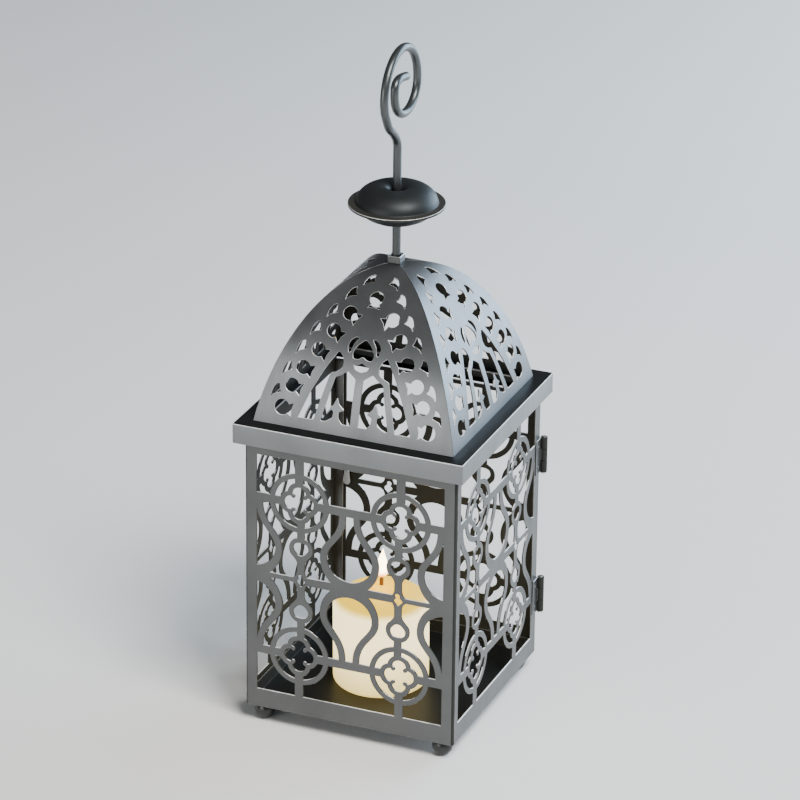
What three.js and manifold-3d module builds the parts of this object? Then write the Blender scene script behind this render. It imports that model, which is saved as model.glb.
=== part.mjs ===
// Square metal candle lantern: four fretwork walls on a tray with ball feet, a square cornice,
// a four-petal pierced dome, and a swivelling wire hook that carries a two-shell finial disc.
// The back wall is a door on two pinned hinges, held by a quarter-turn cam latch.
// Millimetres, +Z up. The origin is on the floor, midway between the four feet.

import * as THREE from 'three';
import * as BufferGeometryUtils from 'three/addons/utils/BufferGeometryUtils.js';
import Module from 'manifold-3d';

const wasm = await Module();
wasm.setup();

// ---------------------------------------------------------------- driving dimensions

const HALF = 60; // half the body's outside width
const SHEET = 0.8; // sheet metal thickness
const GAP = 0.3; // clearance between neighbouring sheets

const BASE_Z = 9.5; // lower edge of the walls, above the floor
const WALL_TOP = 174.9; // hidden upper edge of the fixed walls, inside the cornice
const BEND_R = 1.6; // outside radius of the front wall's bent corners
const RETURN_Y = -57.6; // where the front wall's bent returns end

const WINDOW = { halfWidth: 53.2, halfHeight: 69.2, centreZ: BASE_Z + 80, doorZ: BASE_Z + 83.4 };
const ROSETTE = { x: 28.6, y: 44.9, outer: 17.1, inner: 14.1 };
const QUATREFOIL = { inner: [8.7, 3, 3.6], outer: [11.5, 4.2, 6.5] }; // reach, half width of a lobe, cusp
const BAR = 5; // width of the bars between rosettes and rails
const STEM = 4.4; // width of the upright stems between rosettes and crossbar
const LOOP = { x: 27.8, y: 18.3, outer: 7, inner: 4.1, point: 3.8, shoulder: 7.8 };
const CROSSBAR = { outer: 2.9, inner: 4.7 };
const BOSS = { width: 4.8, height: 5.6, slotWidth: 1.9, slotHeight: 3.1 };
const BULB = { pitch: 55.5, y: 16.5, neckTop: 43.5 };
const BULB_OUTER = { halfWidth: 16.9, depth: 18.3, neck: 5.9 };
const BULB_INNER = { halfWidth: 12.9, depth: 11.9, neck: 2 };

const TRAY = { half: 58.7, height: 8 };
const FOOT = { x: 51.5, y: 53, radius: 5.6, centreZ: 5.4 };

const CORNICE = { half: 65, z: 165, height: 11, mouth: 52 };
const DOOR_TOP = CORNICE.z - 0.4;

const DOME = {
  z: CORNICE.z + CORNICE.height,
  curve: [[56.6, 0], [50.3, 32.5], [33, 75.2], [3.2, 78]],
  facets: 7,
};
const COLLAR = { half: 3.6, hole: 2.8, height: 4.2 };

const WIRE_R = 2.25;
// The hanger wire from its foot inside the dome, up the stem and out to the start of the spiral,
// as [y, z], and the nearly straight tip that the spiral runs out into.
const STEM_ROUTE = [[0, 246.5], [0, 280], [0, 312], [0, 318.6], [-1.7, 323], [-6.2, 327.8], [-11.8, 332.6]];
const HOOK = { y: 3.9, z: 348.4, radius: 22.1, curl: 8.5, lean: 0.9, squash: 0.88 };
const TURN = { from: 200, to: -190, step: 30 }; // of the spiral, in degrees
const HOOK_TIP = [[-4.2, 352], [-2.4, 354], [0.8, 354.9], [5, 354.6], [11.4, 353.3]];

const FINIAL_Z = 286.8; // joint plane of the finial's two shells
// Half sections as [radius, height above the joint plane].
const FINIAL_CAP = [
  [25.6, 0], [25.6, 0.8], [21.6, 0.8], [20.8, 3], [18.2, 6.5], [13.8, 8.9], [9, 9.9], [6, 9.6],
  [4.5, 8.1], [3.4, 5.9], [4.3, 5.7], [5.3, 7.5], [6.8, 8.7], [8.8, 9.1], [13.3, 8.1],
  [17.4, 5.9], [19.9, 2.7], [20.8, 0],
];
const FINIAL_SAUCER = [
  [25.6, 0], [20.8, 0], [19.4, -3], [15.6, -5.8], [11.7, -7.6], [7.8, -8.9], [2.6, -9.4],
  [2.6, -10.2], [8, -9.7], [12, -8.4], [16, -6.6], [20, -3.7], [21.4, -0.8], [25.6, -0.8],
];
const NUT = { radius: 4, height: 3, z: 248.4 };
const WASHER = { radius: 6, z: NUT.z + NUT.height };

const HINGE = { axis: 61.9, length: 20.5, knuckle: 1.9, bore: 1.25, pin: 1.1, leaf: 0.7, tab: 61.1 };
const HINGE_Z = { lower: BASE_Z + 24.8, upper: BASE_Z + 109 };
const STOP = { inner: 54.5, y: 58.1 };
const LATCH = {
  x: 52,
  z: WINDOW.doorZ,
  shaft: 1.2,
  hole: 1.5,
  knob: { radius: 3.4, thick: 1.6, gap: 0.2 },
  wing: { half: 0.9, reach: 5, from: 1, to: 4.6 },
  tongue: { wide: 2.2, narrow: 1.5, reach: 5.1 },
};

const CANDLE = { x: -4.5, y: -5, radius: 26.2, height: 56.8, foot: 3, shoulder: 48.6, ease: 1.6 };
const WICK = { height: 7, foot: 0.9, tip: 0.7 };

// ---------------------------------------------------------------- materials

function metal(color, roughness, metalness) {
  return new THREE.MeshStandardMaterial({ color, roughness, metalness });
}

const GUNMETAL = { color: 0x6d7074, roughness: 0.45, metalness: 0.6 };
const BLACK_SATIN = { color: 0x1c1d1f, roughness: 0.3, metalness: 0.5 };
const STEEL = { color: 0x8a8c8f, roughness: 0.35, metalness: 0.9 };
const WAX = { color: 0xf6e6b4, roughness: 0.55, metalness: 0 };
const CHAR = { color: 0x3a2a1c, roughness: 0.9, metalness: 0 };

// ---------------------------------------------------------------- solids and meshes

function solid(geometry) {
  const bare = geometry.index ? geometry.clone() : BufferGeometryUtils.mergeVertices(geometry, 0);
  bare.deleteAttribute('normal');
  bare.deleteAttribute('uv');
  const merged = BufferGeometryUtils.mergeVertices(bare, 1e-4);
  return new wasm.Manifold(new wasm.Mesh({
    numProp: 3,
    vertProperties: new Float32Array(merged.attributes.position.array),
    triVerts: new Uint32Array(merged.index.array),
  }));
}

function geometryOf(manifold) {
  const found = manifold.getMesh();
  const geometry = new THREE.BufferGeometry();
  geometry.setAttribute('position', new THREE.BufferAttribute(found.vertProperties, 3));
  geometry.setIndex(new THREE.BufferAttribute(found.triVerts, 1));
  geometry.computeVertexNormals();
  return geometry;
}

const lantern = new THREE.Group();

function addPart(name, shape, look, parent = lantern) {
  const geometry = shape.isBufferGeometry ? shape : geometryOf(shape);
  const mesh = new THREE.Mesh(geometry, metal(look.color, look.roughness, look.metalness));
  mesh.name = name;
  parent.add(mesh);
  return mesh;
}

function joined(solids) {
  return solids.reduce((whole, piece) => whole.add(piece));
}

// A prism standing on the XY plane: outline points, any holes, and its height.
function prism(points, height, holes = []) {
  const outline = points.map(([x, y]) => new THREE.Vector2(x, y));
  if (THREE.ShapeUtils.isClockWise(outline)) {
    outline.reverse();
  }
  const shape = new THREE.Shape(outline);
  shape.holes = holes.map((hole) => new THREE.Path(hole.map(([x, y]) => new THREE.Vector2(x, y))));
  return new THREE.ExtrudeGeometry(shape, { depth: height, bevelEnabled: false });
}

function box(low, high) {
  const size = high.map((value, axis) => value - low[axis]);
  const centre = high.map((value, axis) => (value + low[axis]) / 2);
  return new THREE.BoxGeometry(...size).translate(...centre);
}

function arc(x, y, radiusX, radiusY, fromDeg, toDeg, steps) {
  const points = [];
  for (let i = 0; i <= steps; i += 1) {
    const angle = THREE.MathUtils.degToRad(fromDeg + ((toDeg - fromDeg) * i) / steps);
    points.push([x + radiusX * Math.cos(angle), y + radiusY * Math.sin(angle)]);
  }
  return points;
}

function circle(x, y, radius, steps) {
  return arc(x, y, radius, radius, 0, 360, steps).slice(0, steps);
}

function bezier(points, steps) {
  const curve = new THREE.CubicBezierCurve(...points.map(([x, y]) => new THREE.Vector2(x, y)));
  return curve.getPoints(steps).map((point) => [point.x, point.y]);
}

function mirrored(points, signX, signY = 1) {
  return points.map(([x, y]) => [signX * x, signY * y]);
}

function rectangle(x0, y0, x1, y1) {
  return [[x0, y0], [x1, y0], [x1, y1], [x0, y1]];
}

// ---------------------------------------------------------------- fretwork
// Fretwork is drawn about the window's centre, x across the wall and y up it.

function stroke(points, holes) {
  return solid(prism(points, SHEET, holes));
}

function bulbSide(form) {
  const top = [form.neck, BULB.neckTop];
  const low = arc(0, BULB.y, form.halfWidth, form.depth, -90, 0, 3);
  const high = bezier([[form.halfWidth, BULB.y], [form.halfWidth, 26], [form.neck, 28], top], 3);
  return low.concat(high.slice(1));
}

function bulbOutline(form, x, signY, extra) {
  const side = bulbSide(form);
  const end = side[side.length - 1];
  const right = side.concat([[end[0], end[1] + extra]]);
  const left = mirrored(right, -1).reverse().slice(0, -1);
  return right.concat(left).map(([px, py]) => [px + x, signY * py]);
}

function bulb(x, signY) {
  return stroke(bulbOutline(BULB_OUTER, x, signY, 0.5))
    .subtract(stroke(bulbOutline(BULB_INNER, x, signY, 2)));
}

function rosette(x, y) {
  const ring = stroke(circle(x, y, ROSETTE.outer, 12), [circle(x, y, ROSETTE.inner, 12)]);
  const lobes = ([reach, half, cusp]) => {
    const quarter = [[reach, -half], [reach, half], [cusp, cusp]];
    const turned = [0, 1, 2, 3].flatMap((turn) => quarter.map((point) => quarterTurn(point, turn)));
    return turned.map(([px, py]) => [x + px, y + py]);
  };
  return ring.add(stroke(lobes(QUATREFOIL.outer), [lobes(QUATREFOIL.inner)]));
}

function quarterTurn([x, y], turns) {
  return turns === 0 ? [x, y] : quarterTurn([-y, x], turns - 1);
}

function loop(signX, signY) {
  const at = (points) => points.map(([x, y]) => [signX * (x + LOOP.x), signY * (y + LOOP.y)]);
  const outer = arc(0, 0, LOOP.outer, LOOP.outer, -30, 210, 5);
  const point = [[-1.2, -LOOP.point], [1.2, -LOOP.point]];
  const hole = arc(0, 0, LOOP.inner, LOOP.inner, -20, 200, 4).concat(point);
  const shoulder = [[-STEM / 2, -LOOP.shoulder], [STEM / 2, -LOOP.shoulder]];
  return stroke(at(outer.concat(shoulder)), [at(hole)]);
}

function boss(signX) {
  const diamond = (width, height) => [[width, 0], [0, height], [-width, 0], [0, -height]];
  const shift = (points) => points.map(([x, y]) => [signX * LOOP.x + x, y]);
  const slot = [
    [BOSS.slotWidth, 1], [0, BOSS.slotHeight], [-BOSS.slotWidth, 1],
    [-BOSS.slotWidth, -1], [0, -BOSS.slotHeight], [BOSS.slotWidth, -1],
  ];
  return { plate: shift(diamond(BOSS.width, BOSS.height)), slot: shift(slot) };
}

// The bars of one quarter of the pattern, mirrored into place.
function quarterBars(signX, signY) {
  const { x, y, outer } = ROSETTE;
  const clear = QUATREFOIL.inner[0] + 1;
  const bars = [
    rectangle(x - BAR / 2, y + clear, x + BAR / 2, WINDOW.halfHeight + 2),
    rectangle(x + clear, y - BAR / 2, WINDOW.halfWidth + 2, y + BAR / 2),
    rectangle(-1, y - BAR / 2, x - clear, y + BAR / 2),
    rectangle(LOOP.x - STEM / 2, LOOP.y + LOOP.outer - 1, LOOP.x + STEM / 2, y - clear),
    rectangle(LOOP.x - STEM / 2, 3, LOOP.x + STEM / 2, LOOP.y - LOOP.outer),
  ];
  return bars.map((bar) => stroke(mirrored(bar, signX, signY)));
}

function crossbars() {
  const thin = CROSSBAR.outer / 2;
  const thick = CROSSBAR.inner / 2;
  const reach = WINDOW.halfWidth + 2;
  const bars = [
    rectangle(LOOP.x, -thin, reach, thin),
    rectangle(-reach, -thin, -LOOP.x, thin),
    rectangle(-LOOP.x, -thick, LOOP.x, thick),
  ];
  return bars.map((bar) => stroke(bar));
}

function fretwork() {
  const strokes = crossbars();
  for (const signY of [1, -1]) {
    for (const signX of [1, -1]) {
      strokes.push(rosette(signX * ROSETTE.x, signY * ROSETTE.y));
      strokes.push(loop(signX, signY));
      strokes.push(...quarterBars(signX, signY));
    }
    for (const column of [-1, 0, 1]) {
      strokes.push(bulb(column * BULB.pitch, signY));
    }
  }
  const bosses = [boss(1), boss(-1)];
  const pattern = joined(strokes.concat(bosses.map(({ plate }) => stroke(plate))));
  const slots = joined(bosses.map(({ slot }) => stroke(slot)));
  const reach = [WINDOW.halfWidth + 1, WINDOW.halfHeight + 1];
  return pattern.subtract(slots).intersect(stroke(rectangle(-reach[0], -reach[1], ...reach)));
}

// Stands a drawing on the front wall: drawing x to +X, drawing y to +Z, thickness towards -Y.
function onFrontWall(geometry, centreZ) {
  const basis = new THREE.Matrix4().makeBasis(
    new THREE.Vector3(1, 0, 0),
    new THREE.Vector3(0, 0, 1),
    new THREE.Vector3(0, -1, 0),
  );
  return geometry.applyMatrix4(basis).translate(0, -(HALF - SHEET), centreZ);
}

function pierced(sheet, pattern, centreZ = WINDOW.centreZ) {
  const { halfWidth, halfHeight } = WINDOW;
  const window = box(
    [-halfWidth, -HALF - 1, centreZ - halfHeight],
    [halfWidth, -HALF + SHEET + 1, centreZ + halfHeight],
  );
  const grille = solid(onFrontWall(geometryOf(pattern), centreZ));
  return sheet.subtract(solid(window)).add(grille);
}

function flatSheet(fromX, toX, topZ) {
  return solid(box([fromX, -HALF, BASE_Z], [toX, -HALF + SHEET, topZ]));
}

// Plan of the front wall: a flat sheet whose two ends are bent back into short returns.
function bentSheet() {
  const centre = HALF - BEND_R;
  const innerR = BEND_R - SHEET;
  const outerArc = arc(centre, -centre, BEND_R, BEND_R, -90, 0, 3);
  const innerArc = arc(centre, -centre, innerR, innerR, 0, -90, 3);
  const end = [[HALF, RETURN_Y], [HALF - SHEET, RETURN_Y]];
  const right = [...outerArc, ...end, ...innerArc];
  const left = mirrored(right, -1).reverse();
  return solid(prism(right.concat(left), WALL_TOP - BASE_Z).translate(0, 0, BASE_Z));
}

// ---------------------------------------------------------------- walls and door

function addWalls() {
  const pattern = fretwork();
  const frontEdge = -RETURN_Y - GAP;
  const right = pierced(flatSheet(-frontEdge, HALF, WALL_TOP), pattern);
  const left = pierced(flatSheet(-HALF, frontEdge, WALL_TOP), pattern);
  const doorHalf = HALF - SHEET - GAP;
  const hole = solid(prism(circle(LATCH.x, 0, LATCH.hole, 12), 4));
  const boreAt = solid(onFrontWall(geometryOf(hole), LATCH.z).translate(0, 2, 0));
  const blank = flatSheet(-doorHalf, doorHalf, DOOR_TOP);
  const door = pierced(blank, pattern, WINDOW.doorZ).subtract(boreAt);
  addPart('front_panel', pierced(bentSheet(), pattern), GUNMETAL);
  addPart('right_panel', right, GUNMETAL).rotation.z = Math.PI / 2;
  addPart('left_panel', left, GUNMETAL).rotation.z = -Math.PI / 2;
  addPart('door_panel', door, GUNMETAL).rotation.z = Math.PI;
}

// Strip inside the left rear corner that the door closes against.
function addStopStrip() {
  const inside = HALF - SHEET;
  const low = [-inside, STOP.y, BASE_Z + TRAY.height + GAP];
  const high = [-STOP.inner, STOP.y + SHEET, DOOR_TOP];
  addPart('door_stop_strip', box(low, high), GUNMETAL);
}

// One hinge: the frame leaf on the right wall, the door leaf on the door, and the pin.
function knuckle(z, height) {
  const ring = prism(
    circle(HINGE.axis, HINGE.axis, HINGE.knuckle, 8),
    height,
    [circle(HINGE.axis, HINGE.axis, HINGE.bore, 8)],
  );
  return solid(ring.translate(0, 0, z));
}

function addHinge(label, z) {
  const third = HINGE.length / 3;
  const cut = third - GAP / 2;
  const middle = z + third + GAP / 2;
  const near = HALF - GAP;
  const far = HALF - 6;
  const outside = HALF + HINGE.leaf;
  const top = z + HINGE.length;
  const frameLeaf = joined([
    solid(box([HALF, far, z], [outside, near, top])),
    solid(box([HALF, far, z], [outside, HINGE.tab, z + cut])),
    solid(box([HALF, far, top - cut], [outside, HINGE.tab, top])),
    knuckle(z, cut),
    knuckle(top - cut, cut),
  ]);
  const doorLeaf = joined([
    solid(box([far, HALF, z], [near, outside, top])),
    solid(box([far, HALF, middle], [HINGE.tab, outside, middle + third - GAP])),
    knuckle(middle, third - GAP),
  ]);
  const pin = new THREE.LatheGeometry([
    new THREE.Vector2(0, 0),
    new THREE.Vector2(HINGE.knuckle - 0.2, 0),
    new THREE.Vector2(HINGE.knuckle - 0.2, 0.6),
    new THREE.Vector2(HINGE.pin, 0.7),
    new THREE.Vector2(HINGE.pin, HINGE.length + 1.1),
    new THREE.Vector2(0, HINGE.length + 1.1),
  ], 8);
  pin.rotateX(Math.PI / 2).translate(HINGE.axis, HINGE.axis, z - 0.9);
  addPart(`hinge_${label}_frame_leaf`, frameLeaf, GUNMETAL);
  addPart(`hinge_${label}_door_leaf`, doorLeaf, GUNMETAL);
  addPart(`hinge_${label}_pin`, pin, STEEL);
}

// Lays a prism along +Y, with its drawing's y pointing down.
function alongY(geometry, x, y, z) {
  const basis = new THREE.Matrix4().makeBasis(
    new THREE.Vector3(1, 0, 0),
    new THREE.Vector3(0, 0, -1),
    new THREE.Vector3(0, 1, 0),
  );
  return solid(geometry.applyMatrix4(basis).translate(x, y, z));
}

// Quarter-turn cam latch on the door's free stile: thumb knob outside, tongue inside.
function addLatch() {
  const x = -LATCH.x;
  const { knob, wing, tongue } = LATCH;
  const outsideY = HALF + knob.gap;
  const tongueY = STOP.y - GAP - SHEET;
  const shaftY = tongueY + SHEET;
  const thumbKnob = joined([
    alongY(prism(circle(0, 0, LATCH.shaft, 10), outsideY + wing.from - shaftY), x, shaftY, LATCH.z),
    alongY(prism(circle(0, 0, knob.radius, 16), knob.thick), x, outsideY, LATCH.z),
    solid(box(
      [x - wing.half, outsideY + wing.from, LATCH.z - wing.reach],
      [x + wing.half, outsideY + wing.to, LATCH.z + wing.reach],
    )),
  ]);
  const tongueOutline = [
    ...arc(0, 0, tongue.wide, tongue.wide, 0, 180, 6),
    ...arc(0, -tongue.reach, tongue.narrow, tongue.narrow, 180, 360, 5),
  ];
  addPart('latch_knob', thumbKnob, STEEL);
  addPart('latch_tongue', alongY(prism(tongueOutline, SHEET), x, tongueY, LATCH.z), STEEL);
}

// ---------------------------------------------------------------- base

function addTray() {
  const { half, height } = TRAY;
  const outer = solid(box([-half, -half, BASE_Z], [half, half, BASE_Z + height]));
  const inner = half - SHEET;
  const floor = BASE_Z + SHEET;
  const hollow = solid(box([-inner, -inner, floor], [inner, inner, BASE_Z + height + 1]));
  addPart('base_tray', outer.subtract(hollow), GUNMETAL);
}

function addFeet() {
  const { x, y, radius, centreZ } = FOOT;
  const low = THREE.MathUtils.radToDeg(Math.asin(-centreZ / radius));
  const high = THREE.MathUtils.radToDeg(Math.asin((BASE_Z - centreZ) / radius));
  const ball = arc(0, centreZ, radius, radius, low, high, 5);
  const profile = [[0, 0], ...ball, [0, BASE_Z]].map(([r, z]) => new THREE.Vector2(Math.abs(r), z));
  profile[1].y = 0;
  profile[profile.length - 2].y = BASE_Z;
  const corners = {
    front_left: [-1, -1],
    front_right: [1, -1],
    rear_left: [-1, 1],
    rear_right: [1, 1],
  };
  for (const [corner, [signX, signY]] of Object.entries(corners)) {
    const foot = new THREE.LatheGeometry(profile, 10).rotateX(Math.PI / 2);
    addPart(`foot_${corner}`, foot, BLACK_SATIN).position.set(signX * x, signY * y, 0);
  }
}

// ---------------------------------------------------------------- roof

function addCornice() {
  const { half, z, height, mouth } = CORNICE;
  const top = z + height;
  const inside = half - SHEET;
  const throat = HALF + GAP;
  const block = solid(box([-half, -half, z], [half, half, top]));
  const cavity = solid(box([-inside, -inside, z + SHEET], [inside, inside, top - SHEET]));
  const below = solid(box([-throat, -throat, z - 1], [throat, throat, z + SHEET + 1]));
  const above = solid(box([-mouth, -mouth, top - SHEET - 1], [mouth, mouth, top + 1]));
  addPart('cornice', block.subtract(cavity).subtract(below).subtract(above), GUNMETAL);
}

// The dome's meridian: half-width from the axis against height, followed by arc length.
const meridian = new THREE.CubicBezierCurve(
  ...DOME.curve.map(([s, z]) => new THREE.Vector2(s, z + DOME.z)),
);
const MERIDIAN_LENGTH = meridian.getLength();

function meridianFrame(length) {
  const t = THREE.MathUtils.clamp(length / MERIDIAN_LENGTH, 0, 1);
  const point = meridian.getPointAt(t);
  const tangent = meridian.getTangentAt(t);
  return { point, outward: new THREE.Vector2(tangent.y, -tangent.x) };
}

// Punch for one hole: its drawing (x across, y up the sheet) is laid on the front petal and
// pushed straight through it along the petal's normal at the hole's middle.
function punch(hole) {
  const overshoot = 4;
  const heights = hole.map(([, y]) => y);
  const { outward } = meridianFrame((Math.min(...heights) + Math.max(...heights)) / 2);
  const geometry = prism(hole, 2 * overshoot);
  const position = geometry.attributes.position;
  for (let i = 0; i < position.count; i += 1) {
    const { point } = meridianFrame(position.getY(i));
    const depth = position.getZ(i) - overshoot;
    const s = point.x + outward.x * depth;
    position.setXYZ(i, position.getX(i), -s, point.y + outward.y * depth);
  }
  return solid(geometry);
}

function petalBlank() {
  const outer = [];
  const inner = [];
  for (let i = 0; i <= DOME.facets; i += 1) {
    const { point, outward } = meridianFrame((MERIDIAN_LENGTH * i) / DOME.facets);
    outer.push([point.x, point.y]);
    inner.push([point.x - outward.x * SHEET, point.y - outward.y * SHEET]);
  }
  inner[0][1] = DOME.z;
  const section = prism(outer.concat(inner.reverse()), 2 * HALF).translate(0, 0, -HALF);
  const basis = new THREE.Matrix4().makeBasis(
    new THREE.Vector3(0, -1, 0),
    new THREE.Vector3(0, 0, 1),
    new THREE.Vector3(-1, 0, 0),
  );
  const reach = 80;
  const tip = -GAP * Math.SQRT1_2;
  const wedge = prism([[0, tip], [-reach, tip - reach], [reach, tip - reach]], reach);
  return solid(section.applyMatrix4(basis)).intersect(solid(wedge.translate(0, 0, DOME.z)));
}

// Round hole with a flared tail pointing along tailDeg.
function fishHole([x, y, tailDeg]) {
  const radius = 3.8;
  const tail = [[5.8, -3.5], [5.8, 3.5]];
  const outline = arc(0, 0, radius, radius, 40, 320, 5).concat(tail);
  const angle = THREE.MathUtils.degToRad(tailDeg);
  const [cos, sin] = [Math.cos(angle), Math.sin(angle)];
  return outline.map(([px, py]) => [x + px * cos - py * sin, y + px * sin + py * cos]);
}

// Three-pointed hole that follows the hip.
function finHole([x, y]) {
  const outline = [[-1.7, 4], [1.3, 1.2], [2.7, -4], [-3, -0.5]];
  return outline.map(([px, py]) => [x + px, y + py]);
}

const FISH_HOLES = [
  [12, 64.7, 212], [18.6, 54.2, 212], [25, 43.1, 205],
  [32, 32.6, 197], [36.8, 22.3, 196], [41.1, 10, 187],
];
const FIN_HOLES = [
  [6.9, 85], [14, 75.6], [21.6, 64.5], [28.6, 54], [34.6, 43], [40.6, 30.8], [45.4, 18.3],
];
const TOP_HOLE = [0, 75, 270];

// Holes right of the petal's centre line; each one has a mirrored twin.
const CRESCENT = [[3.6, 52.7], [5.6, 53], [8.4, 50.6], [9.2, 47.5], [8.4, 44.2], [6.5, 48.6]];
const OUTER_LIGHT = [
  [13.6, 44.3], [25.3, 22.8], [31.8, 6.2], [22.9, 6.2], [16.4, 32.3], [10.4, 35.6], [10.2, 40],
];
const INNER_LIGHT = [
  [2.2, 31], [7.1, 34.6], [13.4, 30.4], [19, 6.3], [15.6, 6.3], [12.2, 10], [12.2, 12.6],
  [15, 13.8], [10.7, 20], [6.2, 13.8], [9.2, 12.4], [9.2, 9.6], [6, 6.3], [2.2, 6.3],
];
const HEART = [
  [0, 51.4], [3.6, 48.2], [5.6, 43.8], [3.6, 41.6], [0, 43.3],
  [-3.6, 41.6], [-5.6, 43.8], [-3.6, 48.2],
];
const SMILE = [[-4.6, 38.6], [0, 40.1], [4.6, 38.6], [2.6, 35.5], [-2.6, 35.5]];

function petalHoles() {
  const rows = [...FISH_HOLES.map(fishHole), ...FIN_HOLES.map(finHole)];
  const right = [...rows, CRESCENT, OUTER_LIGHT, INNER_LIGHT];
  const left = right.map((hole) => mirrored(hole, -1));
  return [...right, ...left, fishHole(TOP_HOLE), HEART, SMILE];
}

function addDome() {
  const petal = petalBlank().subtract(joined(petalHoles().map(punch)));
  ['front', 'right', 'back', 'left'].forEach((side, turn) => {
    addPart(`dome_petal_${side}`, petal, GUNMETAL).rotation.z = (turn * Math.PI) / 2;
  });
}

function addCollar() {
  const { half, hole, height } = COLLAR;
  const square = rectangle(-half, -half, half, half);
  const z = DOME.z + DOME.curve[3][1];
  addPart('dome_collar', prism(square, height, [circle(0, 0, hole, 12)]).translate(0, 0, z), GUNMETAL);
}

// ---------------------------------------------------------------- hanger and finial

// The spiral is a wide arc over the top, and narrows to its curl on the way round underneath,
// where it's also a little flattened and leans to the rear.
function spiralPoint(angleDeg) {
  const curled = 185;
  const inward = THREE.MathUtils.smoothstep(-angleDeg, 0, curled);
  const radius = THREE.MathUtils.lerp(HOOK.radius, HOOK.curl, inward);
  const angle = THREE.MathUtils.degToRad(angleDeg);
  const lean = HOOK.lean * Math.max(0, -Math.sin(angle));
  const rise = Math.sin(angle) * (angleDeg < 0 && angleDeg > -180 ? HOOK.squash : 1);
  return [HOOK.y + lean + radius * Math.cos(angle), HOOK.z + radius * rise];
}

function hookPoints() {
  const points = [...STEM_ROUTE];
  for (let angle = TURN.from; angle >= TURN.to; angle -= TURN.step) {
    points.push(spiralPoint(angle));
  }
  points.push(...HOOK_TIP);
  return points.map(([y, z]) => new THREE.Vector3(0, y, z));
}

function addHook() {
  const path = new THREE.CatmullRomCurve3(hookPoints());
  const section = new THREE.Shape(circle(0, 0, WIRE_R, 8).map(([x, y]) => new THREE.Vector2(x, y)));
  const wire = new THREE.ExtrudeGeometry(section, { steps: 46, bevelEnabled: false, extrudePath: path });
  addPart('hanger_hook', wire, BLACK_SATIN);
}

function lathe(profile, segments, z) {
  const points = profile.map(([r, height]) => new THREE.Vector2(r, height));
  return new THREE.LatheGeometry(points, segments).rotateX(Math.PI / 2).translate(0, 0, z);
}

// Upper shell with a flat rim, a domed crown and a dimple round the wire, and a saucer below.
function addFinial() {
  const shells = { finial_cap: FINIAL_CAP, finial_saucer: FINIAL_SAUCER };
  for (const [name, section] of Object.entries(shells)) {
    addPart(name, lathe([...section, section[0]], 16, FINIAL_Z), BLACK_SATIN);
  }
}

// Washer and nut under the dome's crown, which carry the lantern on the hanger wire.
function addHangerNut() {
  const bore = WIRE_R + GAP;
  const washer = prism(circle(0, 0, WASHER.radius, 16), SHEET, [circle(0, 0, bore, 12)]);
  const nut = prism(circle(0, 0, NUT.radius, 6), NUT.height, [circle(0, 0, bore, 12)]);
  addPart('hanger_washer', washer.translate(0, 0, WASHER.z), STEEL);
  addPart('hanger_nut', nut.translate(0, 0, NUT.z), STEEL);
}

// ---------------------------------------------------------------- candle
// A pillar with a gently domed top, and its wick.

function addCandle() {
  const { x, y, radius, height, foot, shoulder, ease } = CANDLE;
  const z = BASE_Z + SHEET + 0.1;
  const rise = height - shoulder;
  const profile = [
    [0, 0],
    ...arc(radius - foot, foot, foot, foot, -90, 0, 3),
    ...arc(radius - ease, shoulder - ease, ease, ease, 0, 60, 2),
    [radius * 0.6, shoulder + rise * 0.62],
    [radius * 0.2, height],
    [0, height],
  ];
  const wickProfile = [[0, 0], [WICK.foot, 0], [WICK.tip, WICK.height], [0, WICK.height]];
  addPart('candle_body', lathe(profile, 20, 0), WAX).position.set(x, y, z);
  addPart('candle_wick', lathe(wickProfile, 8, 0), CHAR).position.set(x, y, z + height);
}

addTray();
addFeet();
addWalls();
addStopStrip();
addHinge('lower', HINGE_Z.lower);
addHinge('upper', HINGE_Z.upper);
addLatch();
addCornice();
addDome();
addCollar();
addHook();
addFinial();
addHangerNut();
addCandle();

export default lantern;
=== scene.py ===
# Square pierced-metal candle lantern: the looks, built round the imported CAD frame.
# Drawings are in millimetres and are turned into metres when a mesh is made.

import math
from bisect import bisect_right

import bpy
from mathutils import Matrix, Vector
from mathutils.geometry import delaunay_2d_cdt


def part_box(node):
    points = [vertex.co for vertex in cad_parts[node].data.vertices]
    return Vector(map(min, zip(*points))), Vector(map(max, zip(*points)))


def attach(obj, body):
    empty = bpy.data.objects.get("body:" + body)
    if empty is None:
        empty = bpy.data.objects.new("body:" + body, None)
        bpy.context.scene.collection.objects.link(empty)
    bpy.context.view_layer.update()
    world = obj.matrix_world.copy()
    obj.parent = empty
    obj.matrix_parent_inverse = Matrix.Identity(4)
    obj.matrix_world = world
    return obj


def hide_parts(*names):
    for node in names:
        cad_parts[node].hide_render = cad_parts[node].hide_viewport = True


MM = 0.001

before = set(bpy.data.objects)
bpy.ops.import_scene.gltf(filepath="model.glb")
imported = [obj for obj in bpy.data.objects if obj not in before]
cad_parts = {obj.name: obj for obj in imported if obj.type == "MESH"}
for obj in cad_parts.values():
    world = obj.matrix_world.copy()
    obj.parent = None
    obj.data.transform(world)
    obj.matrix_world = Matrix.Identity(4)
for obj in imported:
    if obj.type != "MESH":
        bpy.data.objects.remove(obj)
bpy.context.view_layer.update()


def cad(node):
    """A CAD node's lowest and highest corner, in millimetres."""
    low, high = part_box(node)
    return [value / MM for value in low], [value / MM for value in high]


# ---- driving dimensions

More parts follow.
